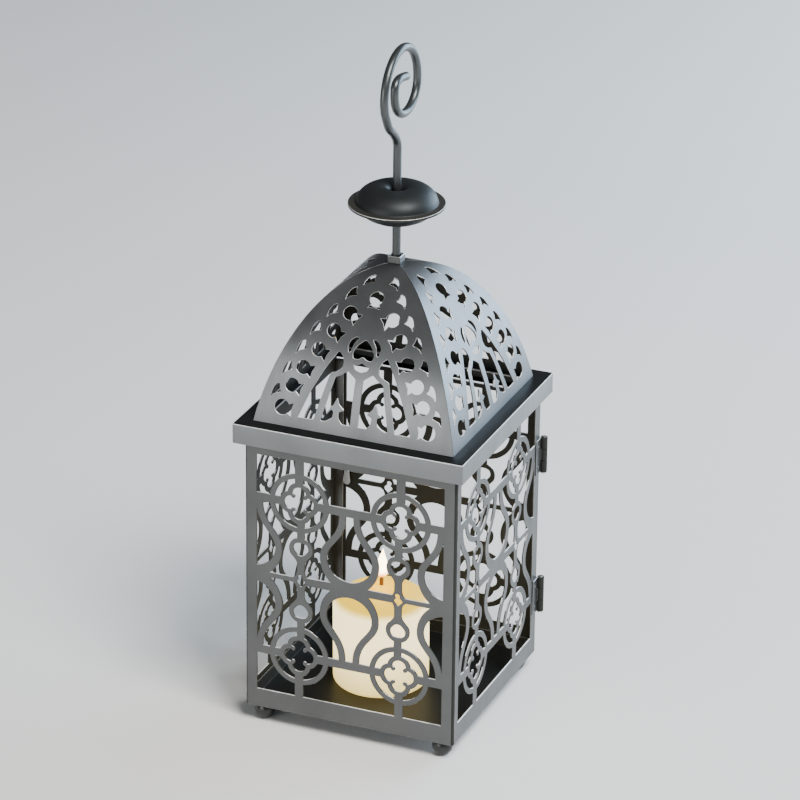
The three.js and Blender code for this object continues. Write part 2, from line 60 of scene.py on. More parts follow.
PANEL_LOW, PANEL_HIGH = cad("front_panel")
TRAY_LOW, TRAY_HIGH = cad("base_tray")
CORNICE_LOW, CORNICE_HIGH = cad("cornice")
DOOR_HIGH = cad("door_panel")[1]
STRIP_LOW, STRIP_HIGH = cad("door_stop_strip")
COLLAR_LOW, COLLAR_HIGH = cad("dome_collar")
HOOK_FOOT = cad("hanger_hook")[0][2]
FINIAL_Z = cad("finial_cap")[0][2]
NUT_LOW, NUT_HIGH = cad("hanger_nut")
WASHER_LOW, WASHER_HIGH = cad("hanger_washer")
CANDLE_LOW, CANDLE_HIGH = cad("candle_body")
CANDLE_X, CANDLE_Y = ((a + b) / 2 for a, b in zip(CANDLE_LOW[:2], CANDLE_HIGH[:2]))
WICK_TOP = cad("candle_wick")[1][2] - 1
DOME_Z = cad("dome_petal_front")[0][2]

HALF = -PANEL_LOW[1]
BASE_Z = PANEL_LOW[2]
WALL_TOP = PANEL_HIGH[2]
SHEET = 0.8
BEVEL = 0.14
GAP = 0.3
BEND_R = 1.6
MOST_EASED = 0.48  # the most of a side that one eased corner takes up

WINDOW_HALF = (53.2, 69.2)
WINDOW_Z = BASE_Z + 80
DOOR_WINDOW_Z = BASE_Z + 83.4
ROSETTE = {"x": 28.8, "y": 44.9, "outer": 17.1, "inner": 14.1}
LOBE = {"across": 4.5, "up": 5.3, "inner": 3.9, "outer": 6.7, "cusp": (3.4, 3.9), "ball": 1.2}
BAR = 5.0
STEM = 4.4
LOOP = {"x": 27.8, "y": 18.3, "outer": 6.85}
LOOP_HOLE = [(1.4, -3.8), (4.5, -0.3), (3.8, 2.9), (1.5, 3.8)]
CROSSBAR = {"outer": 2.9, "inner": 4.7}
BULB = {"pitch": 55.5, "y": 16.5, "neck_top": 42.6}
BULB_OUTER = {"half": 16.9, "depth": 18.3, "neck": 5.9, "flare": (27.0, 28.5)}
BULB_INNER = {"half": 12.9, "depth": 11.9, "neck": 2.0, "flare": (25.0, 27.5)}

DOME_CURVE = [(56.6, 0), (50.3, 32.5), (33, 75.2), (3.2, 78)]

WIRE_R = 2.25
HOOK = {"y": 3.9, "z": 348.4, "radius": 22.1, "curl": 8.5, "lean": 0.9, "squash": 0.88,
        "from": 200, "to": -190, "step": 10, "curled": 185}
STEM_ROUTE = [(0, 280), (0, 312), (0, 318.6), (-1.7, 323), (-6.2, 327.8), (-11.8, 332.6)]
HOOK_TIP = [(-4.2, 352), (-2.4, 354), (0.8, 354.9), (5, 354.6), (11.4, 353.3)]
DISC_RIM = 25.6

FOOT_BALL = {"radius": 5.6, "centre": 5.4, "top": 46, "neck": 3.8}
HINGE = {"knuckle": 1.9, "bore": 1.25, "pin": 1.05, "leaf": 0.7, "tab": 61.0, "play": 0.15}

# The candle's domed top: shares of its radius, and of the crown's height.
CROWN = [(0.9, 0.15), (0.8, 0.37), (0.68, 0.55), (0.55, 0.7), (0.42, 0.82), (0.3, 0.91), (0.18, 0.96),
         (0.09, 0.95), (0.04, 0.98), (0, 1.0)]
CANDLE = {"foot": 3.4, "crown": 8.2, "ease": 2.4}
FLAME_SHAPE = {"tall": 17.5, "wide": 9.2, "sunk": 1.6, "steps": 28}

WORLD = {"colour": (0.76, 0.79, 0.83, 1), "strength": 0.12}
# Name, place and size in metres, watts and colour.
SOFTBOXES = [
    ("back_right_softbox", (0.8, 1.35, 0.5), (1.4, 1.0), 48, (0.62, 0.8, 1.0)),
    ("front_left_softbox", (-0.65, -1.65, 0.42), (1.2, 0.6), 13, (0.98, 1.0, 0.99)),
    ("key_softbox", (1.0, -0.7, 1.9), (0.9, 0.9), 80, (1.0, 0.99, 0.97)),
]
# Azimuth, elevation and roll in degrees, and lengths in metres.
CAMERA = {"turns": (22.44, 24.23, -0.64), "target": (0.0025, 0.0012, 0.1747), "reach": 2.403,
          "lens": 204.2}


# ---- plane drawing helpers


def arc(x, y, rx, ry, start, end, step=1.1):
    """Points on an elliptical arc, in degrees, about one every step millimetres."""
    length = abs(math.radians(end - start)) * max(rx, ry)
    count = max(3, math.ceil(length / step))
    points = []
    for i in range(count + 1):
        angle = math.radians(start + (end - start) * i / count)
        points.append((x + rx * math.cos(angle), y + ry * math.sin(angle)))
    return points


def circle(x, y, radius, step=1.1):
    return arc(x, y, radius, radius, 0, 360, step)[:-1]


def bezier(a, b, c, d, count=12):
    points = []
    for i in range(count + 1):
        t = i / count
        weights = ((1 - t) ** 3, 3 * t * (1 - t) ** 2, 3 * t * t * (1 - t), t**3)
        points.append(tuple(sum(w * p[k] for w, p in zip(weights, (a, b, c, d))) for k in (0, 1)))
    return points


def rectangle(x0, y0, x1, y1):
    return [(x0, y0), (x1, y0), (x1, y1), (x0, y1)]


def sides(loop):
    """Each corner of a closed outline with the one after it."""
    return zip(loop, loop[1:] + loop[:1])


def area(loop):
    return 0.5 * sum(a[0] * b[1] - b[0] * a[1] for a, b in sides(loop))


def facing(loop):
    """The same outline, run anticlockwise."""
    return loop if area(loop) > 0 else loop[::-1]


def ring_facing(ring, points):
    """The same ring of point numbers, run anticlockwise."""
    return ring if area([tuple(points[i]) for i in ring]) > 0 else ring[::-1]


def moved(loop, x=0.0, y=0.0, sx=1.0, sy=1.0, turn=0.0):
    """Scales, then turns by degrees, then moves a drawing."""
    c, s = math.cos(math.radians(turn)), math.sin(math.radians(turn))
    return [(x + sx * px * c - sy * py * s, y + sx * px * s + sy * py * c) for px, py in loop]


def mirrored(loop):
    """The left-hand twin of a right-hand run of points, in the opposite order."""
    return [(-x, y) for x, y in loop[::-1]]


def rounded(loop, radius, count=4, closed=True):
    """The same outline with each corner eased by a curve that reaches radius along its sides. An
    open outline keeps its two ends."""
    result = [] if closed else [loop[0]]
    for i in range(len(loop)) if closed else range(1, len(loop) - 1):
        before, here, after = (Vector(loop[k % len(loop)]) for k in (i - 1, i, i + 1))
        start = here + (before - here).normalized() * min(radius, (before - here).length * MOST_EASED)
        end = here + (after - here).normalized() * min(radius, (after - here).length * MOST_EASED)
        for k in range(count + 1):
            t = k / count
            result.append(tuple(start * (1 - t) ** 2 + here * 2 * t * (1 - t) + end * t * t))
    return result if closed else result + [loop[-1]]


# ---- flat regions to sheets


def without_repeats(loop, least=0.04):
    """Drops points closer together than least, and points that lie on a straight run."""
    kept = []
    for point in loop:
        if not kept or math.dist(point, kept[-1]) > least:
            kept.append(point)
    if math.dist(kept[0], kept[-1]) <= least:
        kept.pop()
    result = []
    for i, point in enumerate(kept):
        a, b = kept[i - 1], kept[(i + 1) % len(kept)]
        cross = (point[0] - a[0]) * (b[1] - point[1]) - (point[1] - a[1]) * (b[0] - point[0])
        if abs(cross) > 1e-4 * math.dist(a, b):
            result.append(point)
    return result


def overlay(added, removed=()):
    """Outline loops of a union of strokes, each (outline, holes), less the removed outlines.
    Outer loops run anticlockwise and holes clockwise."""
    points, faces, owners = [], [], []

    def put(loop, owner):
        start = len(points)
        points.extend(Vector(p) for p in facing(loop))
        faces.append(list(range(start, len(points))))
        owners.append(owner)

    for number, (outline, holes) in enumerate(added):
        put(outline, ("stroke", number))
        for hole in holes:
            put(hole, ("hole", number))
    for loop in removed:
        put(loop, ("cut", 0))
    made, _, triangles, _, _, origins = delaunay_2d_cdt(points, [], faces, 1, 1e-5, True)
    directed = set()
    for triangle, origin in zip(triangles, origins):
        roles = [owners[i] for i in origin]
        holes = {number for kind, number in roles if kind == "hole"}
        solid = any(kind == "stroke" and number not in holes for kind, number in roles)
        if solid and not any(kind == "cut" for kind, _ in roles):
            directed.update(sides(ring_facing(triangle, made)))
    following = {}
    for a, b in directed:
        if (b, a) not in directed:
            following.setdefault(a, []).append(b)
    return chained(made, following)


def chained(points, following):
    """Joins boundary edges into loops, turning hard left where two loops touch."""
    loops = []
    for start in sorted(following):
        while following[start]:
            loop, here = [start], following[start].pop()
            before = start
            while here != start:
                loop.append(here)
                came = points[here] - points[before]
                ways = following[here]
                ways.sort(key=lambda way: came.angle_signed(points[way] - points[here], 0))
                before, here = here, ways.pop(0)
            loops.append(without_repeats([tuple(points[i]) for i in loop]))
    return [loop for loop in loops if len(loop) > 2 and abs(area(loop)) > 0.02]


def subdivided(loop, longest):
    result = []
    for a, b in sides(loop):
        count = max(1, math.ceil(math.dist(a, b) / longest))
        for i in range(count):
            t = i / count
            result.append((a[0] + (b[0] - a[0]) * t, a[1] + (b[1] - a[1]) * t))
    return result


def inset_directions(loop):
    """How far each corner moves, per unit of inset, towards the material on its left."""
    result = []
    for i, here in enumerate(loop):
        a, b = loop[i - 1], loop[(i + 1) % len(loop)]
        first = Vector((a[1] - here[1], here[0] - a[0])).normalized()
        second = Vector((here[1] - b[1], b[0] - here[0])).normalized()
        total = (first + second) / max(0.5, 1 + first.dot(second))
        result.append(total)
    return result


def inner_points(loops, spacing, clearance):
    """A staggered grid of points inside the region, each clear of every outline."""
    edges = [side for loop in loops for side in sides(loop)]
    xs = [p[0] for loop in loops for p in loop]
    ys = [p[1] for loop in loops for p in loop]
    rows = int((max(ys) - min(ys)) / (spacing * 0.87))
    result = []
    for row in range(1, rows + 1):
        y = min(ys) + row * (max(ys) - min(ys)) / (rows + 1)
        near = [(a, b) for a, b in edges if min(a[1], b[1]) - spacing < y < max(a[1], b[1]) + spacing]
        crossings = sorted(
            a[0] + (b[0] - a[0]) * (y - a[1]) / (b[1] - a[1])
            for a, b in near
            if (a[1] > y) != (b[1] > y)
        )
        columns = int((max(xs) - min(xs)) / spacing) + 1
        for column in range(columns):
            x = min(xs) + (column + 0.5 * (row % 2)) * spacing
            inside = sum(crossing < x for crossing in crossings) % 2 == 1
            if inside and all(distance((x, y), a, b) > clearance for a, b in near):
                result.append((x, y))
    return result


def distance(point, a, b):
    ax, ay, bx, by = a[0], a[1], b[0], b[1]
    dx, dy = bx - ax, by - ay
    t = ((point[0] - ax) * dx + (point[1] - ay) * dy) / (dx * dx + dy * dy or 1)
    t = min(1, max(0, t))
    return math.hypot(point[0] - ax - t * dx, point[1] - ay - t * dy)


def sheet_body(loops, place, thickness=SHEET, bevel=BEVEL, points=(), creases=(), wear_and_highlight=0.5, cut=0.0):
    """A plate with eased edges. place turns (x, y, depth) of the drawing into a 3-D point in mm,
    with depth running from +thickness/2 at the face to -thickness/2 at the back. The numbers of
    the faces behind the front edge are kept in "back". The argument after creases is the front
    edge's value and cut is that of the cut edges; each gives edge wear and a painted edge highlight
    together."""
    flat, spans, leans = [], [], []
    for loop in loops:
        spans.append((len(flat), len(loop)))
        flat.extend(loop)
        leans.extend(inset_directions(loop))
    every = [Vector(p) for p in flat] + [Vector(p) for p in points]
    faces = [ring_facing(list(range(start, start + count)), flat) for start, count in spans]
    edges = [(nearest(flat, a), nearest(flat, b)) for a, b in creases]
    made, _, triangles, sources, _, origins = delaunay_2d_cdt(every, edges, faces, 1, 1e-6, True)
    half, total = thickness / 2, len(flat)
    body = dict(new_body(), back=[])
    levels = ((half, 1), (half - bevel, 0), (bevel - half, 0), (-half, 1))
    for depth, leaning in levels:
        for (x, y), lean in zip(flat, leans):
            shift = lean * bevel * leaning
            body["verts"].append(place(x + shift.x, y + shift.y, depth))
    extra = {}
    for triangle, origin in zip(triangles, origins):
        if len(origin) % 2 == 0:
            continue
        front, back = [], []
        for i in ring_facing(triangle, made):
            source = sources[i][0] if sources[i] else None
            if source is not None and source < total:
                front.append(source)
                back.append(source + 3 * total)
                continue
            if i not in extra:
                extra[i] = len(body["verts"])
                x, y = made[i]
                body["verts"] += [place(x, y, half), place(x, y, -half)]
            front.append(extra[i])
            back.append(extra[i] + 1)
        body["back"].append(len(body["faces"]) + 1)
        body["faces"] += [front, back[::-1]]
        body["edge"] += [0.0, 0.0]
    for start, count in spans:
        for k in range(count):
            a, b = start + k, start + (k + 1) % count
            for level in range(3):
                up, down = level * total, (level + 1) * total
                if level:
                    body["back"].append(len(body["faces"]))
                body["faces"].append([a + up, a + down, b + down, b + up])
                body["edge"].append(cut if level else wear_and_highlight)
    return body


def nearest(points, target):
    return min(range(len(points)), key=lambda i: math.dist(points[i], target))


# ---- turned, swept and bent bodies


def new_body():
    """An empty shape: its corners in mm, its faces by corner number, and each face's edge wear and painted
    highlight.
    """
    return {"verts": [], "faces": [], "edge": []}


def ring_faces(low, high):
    """The four-sided faces that join one ring of corner numbers to the next."""
    return [[a, b, d, c] for (a, b), (c, d) in zip(sides(low), sides(high))]


def lathe_body(profile, count=48, x=0.0, y=0.0, z=0.0, wobble=None):
    """Turns a half section, (radius, height) from bottom outside to top, about a vertical axis.
    A section that starts and ends on the axis is solid; any other one closes on itself."""
    body = new_body()
    solid = profile[0][0] < 1e-6 and profile[-1][0] < 1e-6
    rings = []
    for radius, height in profile:
        if radius < 1e-6:
            rings.append([len(body["verts"])] * count)
            body["verts"].append((x, y, z + height))
            continue
        rings.append(list(range(len(body["verts"]), len(body["verts"]) + count)))
        for i in range(count):
            angle = 2 * math.pi * i / count
            r, h = (radius, height) if wobble is None else wobble(radius, height, angle)
            body["verts"].append((x + r * math.cos(angle), y + r * math.sin(angle), z + h))
    pairs = list(zip(rings, rings[1:])) + ([] if solid else [(rings[-1], rings[0])])
    for low, high in pairs:
        for face in ring_faces(low, high):
            face = [v for k, v in enumerate(face) if v != face[k - 1]]
            if len(face) > 2:
                body["faces"].append(face)
                body["edge"].append(0.0)
    return body


def spline(points, step):
    """A Catmull-Rom curve through points, sampled about every step millimetres."""
    path = [Vector(p) for p in points]
    padded = [path[0] * 2 - path[1]] + path + [path[-1] * 2 - path[-2]]
    result = []
    for a, b, c, d in zip(padded, padded[1:], padded[2:], padded[3:]):
        count = max(1, round((c - b).length / step))
        for i in range(count):
            t = i / count
            result.append(
                0.5 * ((2 * b) + (c - a) * t + (2 * a - 5 * b + 4 * c - d) * t * t
                       + (3 * b - 3 * c + d - a) * t**3)
            )
    return result + [path[-1]]


def eased_end(tip, inward, tangent, radius, ends):
    rows = []
    for k in range(5):
        angle = math.pi / 2 * k / 4
        centre = tip + inward * ends * (1 - math.cos(angle))
        rows.append((centre, tangent, radius - ends * (1 - math.sin(angle))))
    return rows


def tube_body(path, radius, count=20, ends=0.5, radius_end=None):
    """A round wire along a path, with softly rounded ends, tapering to radius_end if that is given."""
    body = new_body()
    last_radius = radius if radius_end is None else radius_end
    first = (path[1] - path[0]).normalized()
    last = (path[-1] - path[-2]).normalized()
    stations = eased_end(path[0], first, first, radius, ends)
    for i in range(1, len(path) - 1):
        way = i / (len(path) - 1)
        tangent = (path[i + 1] - path[i - 1]).normalized()
        stations.append((path[i], tangent, radius + (last_radius - radius) * way))
    stations += eased_end(path[-1], -last, last, last_radius, ends)[::-1]
    side = Vector((1, 0, 0))
    for centre, tangent, r in stations:
        side = (side - tangent * side.dot(tangent)).normalized()
        other = tangent.cross(side)
        for i in range(count):
            angle = 2 * math.pi * i / count
            around = side * math.cos(angle) + other * math.sin(angle)
            body["verts"].append(tuple(centre + around * r))
    rings = [list(range(s * count, (s + 1) * count)) for s in range(len(stations))]
    for low, high in zip(rings, rings[1:]):
        body["faces"] += ring_faces(low, high)
    body["faces"] += [rings[0][::-1], rings[-1]]
    body["edge"] = [0.0] * len(body["faces"])
    return body


def square_sweep(profile, wear_and_highlight_from, corner=0.7, steps=3, closed=True):
    """A section, (distance from the axis, height), carried round a square with eased corners,
    which take edge wear and a painted edge highlight above the height in the second argument. A flat plate
    closes each end of an open section."""
    body = new_body()
    count = 4 * (steps + 1)
    rings = [list(range(p * count, (p + 1) * count)) for p in range(len(profile))]
    for reach, height in profile:
        for quarter, (sx, sy) in enumerate(((1, 1), (-1, 1), (-1, -1), (1, -1))):
            for k in range(steps + 1):
                angle = math.pi / 2 * (quarter + k / steps)
                x = sx * (reach - corner) + corner * math.cos(angle)
                y = sy * (reach - corner) + corner * math.sin(angle)
                body["verts"].append((x, y, height))
    for p in range(len(profile) if closed else len(profile) - 1):
        q = (p + 1) % len(profile)
        eased = math.dist(profile[p], profile[q]) < 0.3 and profile[p][1] > wear_and_highlight_from
        body["faces"] += ring_faces(rings[p], rings[q])
        body["edge"] += [float(eased)] * count
    if not closed:
        body["faces"] += [rings[0][::-1], rings[-1]]
        body["edge"] += [0.0, 0.0]
    return body


def turned(body, quarters):
    """The same body turned by quarter turns about the lantern's axis."""
    for _ in range(quarters % 4):
        body = dict(body, verts=[(-y, x, z) for x, y, z in body["verts"]])
    return body


def joined(*bodies):
    whole = new_body()
    for body in bodies:
        start = len(whole["verts"])
        whole["verts"] += body["verts"]
        whole["faces"] += [[start + i for i in face] for face in body["faces"]]
        whole["edge"] += body["edge"]
    return whole


def laid(body, turn, spot):
    """The same body turned by a matrix and then moved to spot."""
    return dict(body, verts=[tuple(turn @ Vector(v) + spot) for v in body["verts"]])


def flipped(body):
    """The same body with its faces turned to look the other way."""
    return dict(body, faces=[face[::-1] for face in body["faces"]])


def behind(body):
    """Picks a sheet's back and its cut edges for the near-black painted shade, but not those that face up,
    which keep the lighter edge paint as a painted highlight.
    """
    chosen = set(body["back"])
    return lambda face: face.index in chosen and face.normal.z < 0.6


def put(name, data):
    """Adds an object to the scene."""
    made = bpy.data.objects.new(name, data)
    bpy.context.scene.collection.objects.link(made)
    return made


def piece(name, body, rides, nodes, materials, sharp=32, second=None):
    """Makes the object: metres, smooth shading that breaks at sharp edges, and its edge wear and
    painted edge highlight. second(face) picks the faces that take the second material."""
    mesh = bpy.data.meshes.new(name)
    mesh.from_pydata([tuple(v * MM for v in p) for p in body["verts"]], [], body["faces"])
    mesh.polygons.foreach_set("use_smooth", [True] * len(mesh.polygons))
    mesh.set_sharp_from_angle(angle=math.radians(sharp))
    wear_and_highlight = mesh.attributes.new("edge", "FLOAT", "FACE")
    wear_and_highlight.data.foreach_set("value", body["edge"])
    for material in materials:
        mesh.materials.append(material)
    if second:
        for face in mesh.polygons:
            face.material_index = int(second(face))
    made = put(name, mesh)
    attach(made, rides)
    if nodes:
        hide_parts(*nodes)
    return made


# ---- materials


def graph(name):
    """A new node material: its tree, its Principled shader, and a maker of linked nodes."""
    material = bpy.data.materials.new(name)
    material.use_nodes = True
    tree = material.node_tree
    shader = tree.nodes["Principled BSDF"]

    def add(kind, inputs=(), **settings):
        node = tree.nodes.new(kind)
        for key, value in settings.items():
            setattr(node, key, value)
        for key, value in dict(inputs).items():
            if isinstance(value, bpy.types.NodeSocket):
                tree.links.new(value, node.inputs[key])
            else:
                node.inputs[key].default_value = value
        return node

    def link(source, target):
        tree.links.new(source, shader.inputs[target])

    return material, shader, add, link


def noise_at(add, scale, detail=3.0, stretch=(1, 1, 1)):
    """Noise in object space, so that it stays on the piece as the piece moves."""
    place = add("ShaderNodeTexCoord").outputs["Object"]
    scaled = add("ShaderNodeVectorMath", {0: place, 1: stretch}, operation="MULTIPLY")
    texture = add("ShaderNodeTexNoise", {"Vector": scaled.outputs[0], "Scale": scale, "Detail": detail})
    return texture.outputs["Fac"]


def ramp(add, value, low, high, to_low=0.0, to_high=1.0):
    settings = {"Value": value, "From Min": low, "From Max": high, "To Min": to_low, "To Max": to_high}
    return add("ShaderNodeMapRange", settings, clamp=True).outputs["Result"]


def blend(add, factor, first, second):
    return add("ShaderNodeMix", {0: factor, 6: first, 7: second}, data_type="RGBA").outputs[2]


def times(add, first, second):
    return add("ShaderNodeMath", {0: first, 1: second}, operation="MULTIPLY").outputs[0]


def bump(add, link, height, strength, distance):
    settings = {"Height": height, "Strength": strength, "Distance": distance}
    link(add("ShaderNodeBump", settings).outputs["Normal"], "Normal")


def shade(colour, factor=1.0):
    """An opaque colour, made lighter or darker by factor."""
    return tuple(min(1, c * factor) for c in colour) + (1,)


def paint(name, colour, rubbed_and_highlight_colour, roughness, metallic, mottle=0.1, vary=0.05, ior=1.5):
    """Sprayed satin paint on sheet metal: faint mottling, orange peel, specks, and edges that fade to
    a bright colour, partly as rubbed wear and partly as a painted highlight, brightest where they face up."""
    material, shader, add, link = graph(name)
    clouds = ramp(add, noise_at(add, 34, 4.0), 0.32, 0.68)
    sprayed = blend(add, clouds, shade(colour, 1 - mottle), shade(colour, 1 + mottle))
    specks = ramp(add, noise_at(add, 2600, 1.0), 0.66, 0.74, 0.0, 0.35)
    dusted = blend(add, specks, sprayed, shade(colour, 1.9))
    edge = add("ShaderNodeAttribute", attribute_name="edge", attribute_type="GEOMETRY").outputs["Fac"]
    rub = ramp(add, noise_at(add, 160, 5.0), 0.34, 0.62, 0.35, 1.0)
    normal = add("ShaderNodeNewGeometry").outputs["Normal"]
    up = add("ShaderNodeSeparateXYZ", {"Vector": normal}).outputs["Z"]
    # Edge lightening is wear and a painted highlight together; edges that face up get up to twice as much,
    # as a painted highlight where light falls from above.
    wear_and_highlight = times(add, edge, times(add, rub, ramp(add, up, 0.2, 0.8, 0.8, 2.0)))
    link(blend(add, wear_and_highlight, dusted, shade(rubbed_and_highlight_colour)), "Base Color")
    streaks = noise_at(add, 90, 3.0, (1, 1, 0.25))
    link(ramp(add, streaks, 0.3, 0.7, roughness - vary, roughness + vary), "Roughness")
    bump(add, link, noise_at(add, 900, 2.0), 0.5, 0.00002)
    if metallic:
        link(ramp(add, wear_and_highlight, 0, 1, metallic, 0.1), "Metallic")
    shader.inputs["IOR"].default_value = ior
    return material


def steel(name, colour, roughness):
    """Dull plated steel with fine turning marks."""
    material, shader, add, link = graph(name)
    marks = noise_at(add, 700, 4.0, (1, 1, 5))
    turned_marks = blend(add, ramp(add, marks, 0.3, 0.7), shade(colour, 0.72), shade(colour))
    link(turned_marks, "Base Color")
    link(ramp(add, noise_at(add, 260, 3.0), 0.3, 0.7, roughness - 0.07, roughness + 0.1), "Roughness")
    bump(add, link, marks, 0.4, 0.00003)
    shader.inputs["Metallic"].default_value = 1.0
    return material


def height_fade(add, low, high):
    """0 below low, 1 above high, both heights in millimetres above the floor."""
    place = add("ShaderNodeTexCoord").outputs["Object"]
    z = add("ShaderNodeSeparateXYZ", {"Vector": place}).outputs["Z"]
    return ramp(add, z, low * MM, high * MM)


def wax():
    """Ivory paraffin with a painted glow where the flame lights it from inside: emission over the side,
    brighter higher up, and a deeper amber top.
    """
    material, shader, add, link = graph("ivory_painted_glow_wax")
    clouds = ramp(add, noise_at(add, 55, 4.0), 0.3, 0.7)
    body = blend(add, clouds, (0.84, 0.66, 0.28, 1), (0.9, 0.74, 0.38, 1))
    bloom = ramp(add, noise_at(add, 420, 2.0), 0.58, 0.72, 0.0, 0.4)
    low, top = CANDLE_LOW[2], CANDLE_HIGH[2]
    # The top 7 to 10 mm is painted a deeper amber in colour and glow, standing in for the flame's light in
    # the melt.
    top_glow = height_fade(add, top - 10, top - 7)
    frosted = blend(add, bloom, body, (0.95, 0.86, 0.6, 1))
    link(blend(add, top_glow, frosted, (0.6, 0.36, 0.03, 1)), "Base Color")
    # Painted glow colour: deeper yellow at the foot, paler from 26 mm up.
    side = blend(add, height_fade(add, low, low + 26), (1.0, 0.74, 0.2, 1), (1.0, 0.83, 0.44, 1))
    link(blend(add, top_glow, side, (1.0, 0.66, 0.03, 1)), "Emission Color")
    # Painted glow strength: rising from about 1.5 at the foot to 2.6 from 26 mm up, and 0.55 of that at the
    # top.
    glow = ramp(add, height_fade(add, low - 8, low + 26), 0, 1, 1.2, 2.6)
    link(times(add, glow, ramp(add, top_glow, 0, 1, 1.0, 0.55)), "Emission Strength")
    link(ramp(add, noise_at(add, 130, 3.0), 0.3, 0.7, 0.4, 0.55), "Roughness")
    bump(add, link, noise_at(add, 140, 4.0), 0.6, 0.0002)
    shader.inputs["Subsurface Weight"].default_value = 0.35
    shader.inputs["Subsurface Radius"].default_value = (1.0, 0.55, 0.2)
    shader.inputs["Subsurface Scale"].default_value = 0.006
    return material


def charred():
    """Braided cotton, brown where it stands in the wax and black at its tip."""
    material, shader, add, link = graph("charred_cotton")
    wave = add("ShaderNodeTexWave", {"Scale": 500.0, "Distortion": 1.5}, bands_direction="DIAGONAL")
    weave = wave.outputs["Fac"]
    fibre = blend(add, weave, (0.34, 0.15, 0.02, 1), (0.16, 0.07, 0.015, 1))
    tip = height_fade(add, WICK_TOP - 2, WICK_TOP + 0.5)
    link(blend(add, tip, fibre, (0.03, 0.015, 0.008, 1)), "Base Color")
    bump(add, link, weave, 0.8, 0.0001)
    shader.inputs["Roughness"].default_value = 0.9
    return material


def flame_glow():
    """Orange at the wick, white-hot above it, and yellow at the tip."""
    material, shader, add, link = graph("flame_glow")
    rise = height_fade(add, WICK_TOP - 1, WICK_TOP + 4)
    low = blend(add, rise, (1.0, 0.4, 0.04, 1), (1.0, 0.86, 0.55, 1))
    whole = blend(add, height_fade(add, WICK_TOP + 11, WICK_TOP + 16), low, (1.0, 0.66, 0.26, 1))
    link(whole, "Emission Color")
    link(whole, "Base Color")
    link(height_fade(add, WICK_TOP - 2, WICK_TOP + 2), "Alpha")
    flicker = ramp(add, noise_at(add, 200, 2.0), 0.3, 0.7, 9.0, 12.0)
    link(times(add, flicker, ramp(add, rise, 0, 1, 0.25, 1.0)), "Emission Strength")
    shader.inputs["Roughness"].default_value = 0.6
    return material


def plaster():
    material, shader, add, link = graph("pale_floor")
    link(blend(add, noise_at(add, 3, 3.0), (0.8, 0.79, 0.77, 1), (0.84, 0.83, 0.81, 1)), "Base Color")
    shader.inputs["Roughness"].default_value = 0.75
    return material


# Bare metal colour of rubbed edges, which also serves as their painted highlight.
BARE_METAL_AND_HIGHLIGHT = (0.75, 0.76, 0.77)
GUNMETAL = paint("gunmetal_paint", (0.105, 0.108, 0.109), BARE_METAL_AND_HIGHLIGHT, 0.36, 0.72)
DOME_PAINT = paint("dome_paint", (0.12, 0.125, 0.128), BARE_METAL_AND_HIGHLIGHT, 0.34, 0.76)
# The fascia takes a lighter copy of the gunmetal paint: a painted sheen on the cornice.
CORNICE_SHEEN = paint("fascia_painted_sheen", (0.19, 0.2, 0.205), BARE_METAL_AND_HIGHLIGHT, 0.34, 0.72)
# Near-black painted shade for the backs and shaded cut edges of the walls and petals and for the front
# wall's bends; the hinge barrels take it too.
DARK_PAINTED_SHADE = paint("near_black_painted_shade", (0.026, 0.027, 0.024), (0.05, 0.05, 0.048), 0.5, 0.0, 0.1, 0.03, 1.2)
# Near-black painted shade for the cornice's ledge, standing in for a shadowed recess.
LEDGE_SHADE = paint("black_satin_paint", (0.01, 0.011, 0.011), (0.4, 0.4, 0.41), 0.32, 0.3, 0.06, 0.015)
# Near-black painted shade for the tray's floor and the inside of its lip, tinted slightly blue against the
# candle's warm light.
TRAY_FLOOR_SHADE = paint("painted_shade_tray_floor", (0.0095, 0.0105, 0.0115), (0.1, 0.1, 0.1), 0.45, 0.0, 0.06,
                    0.015, 1.3)
FOOT = paint("foot_satin_paint", (0.036, 0.037, 0.037), (0.3, 0.3, 0.31), 0.32, 0.6)
DISC = paint("disc_satin_paint", (0.022, 0.025, 0.026), (0.55, 0.56, 0.56), 0.5, 0.6, 0.08, 0.03)
# A lighter, browner copy of the disc paint for the cap's flange: a painted sheen on its upward faces.
RIM_PAINTED_SHEEN = paint("flange_painted_sheen", (0.06, 0.058, 0.052), (0.6, 0.6, 0.58), 0.4, 0.6, 0.08, 0.03)
WIRE = paint("wire_satin_paint", (0.075, 0.081, 0.083), (0.5, 0.5, 0.51), 0.37, 0.8, 0.08, 0.03)
STEEL = steel("plated_steel", (0.56, 0.56, 0.57), 0.3)
WAX = wax()
CHAR = charred()
FLAME = flame_glow()


# ---- fretwork drawing
# x across the wall and y up it, about the window's centre.


def bulb(x, sign):
    """A lobe's band: a round bowl that flares into a straight neck, as outline and hole."""
    loops = []
    for form, extra in ((BULB_OUTER, 0.6), (BULB_INNER, 0.0)):
        half, neck = form["half"], form["neck"]
        low, high = form["flare"]
        bowl = arc(0, BULB["y"], half, form["depth"], -90, 0)
        top = BULB["neck_top"]
        flare = bezier((half, BULB["y"]), (half, low), (neck, high), (neck, top - 0.2), 22)
        right = bowl + flare[1:] + [(neck, top + extra)]
        loops.append(moved(right + mirrored(right)[:-1], x, sy=sign))
    return loops[0], [loops[1]]


def lobe_centres():
    across, up = LOBE["across"], LOBE["up"]
    return [(across, 0), (0, up), (-across, 0), (0, -up)]


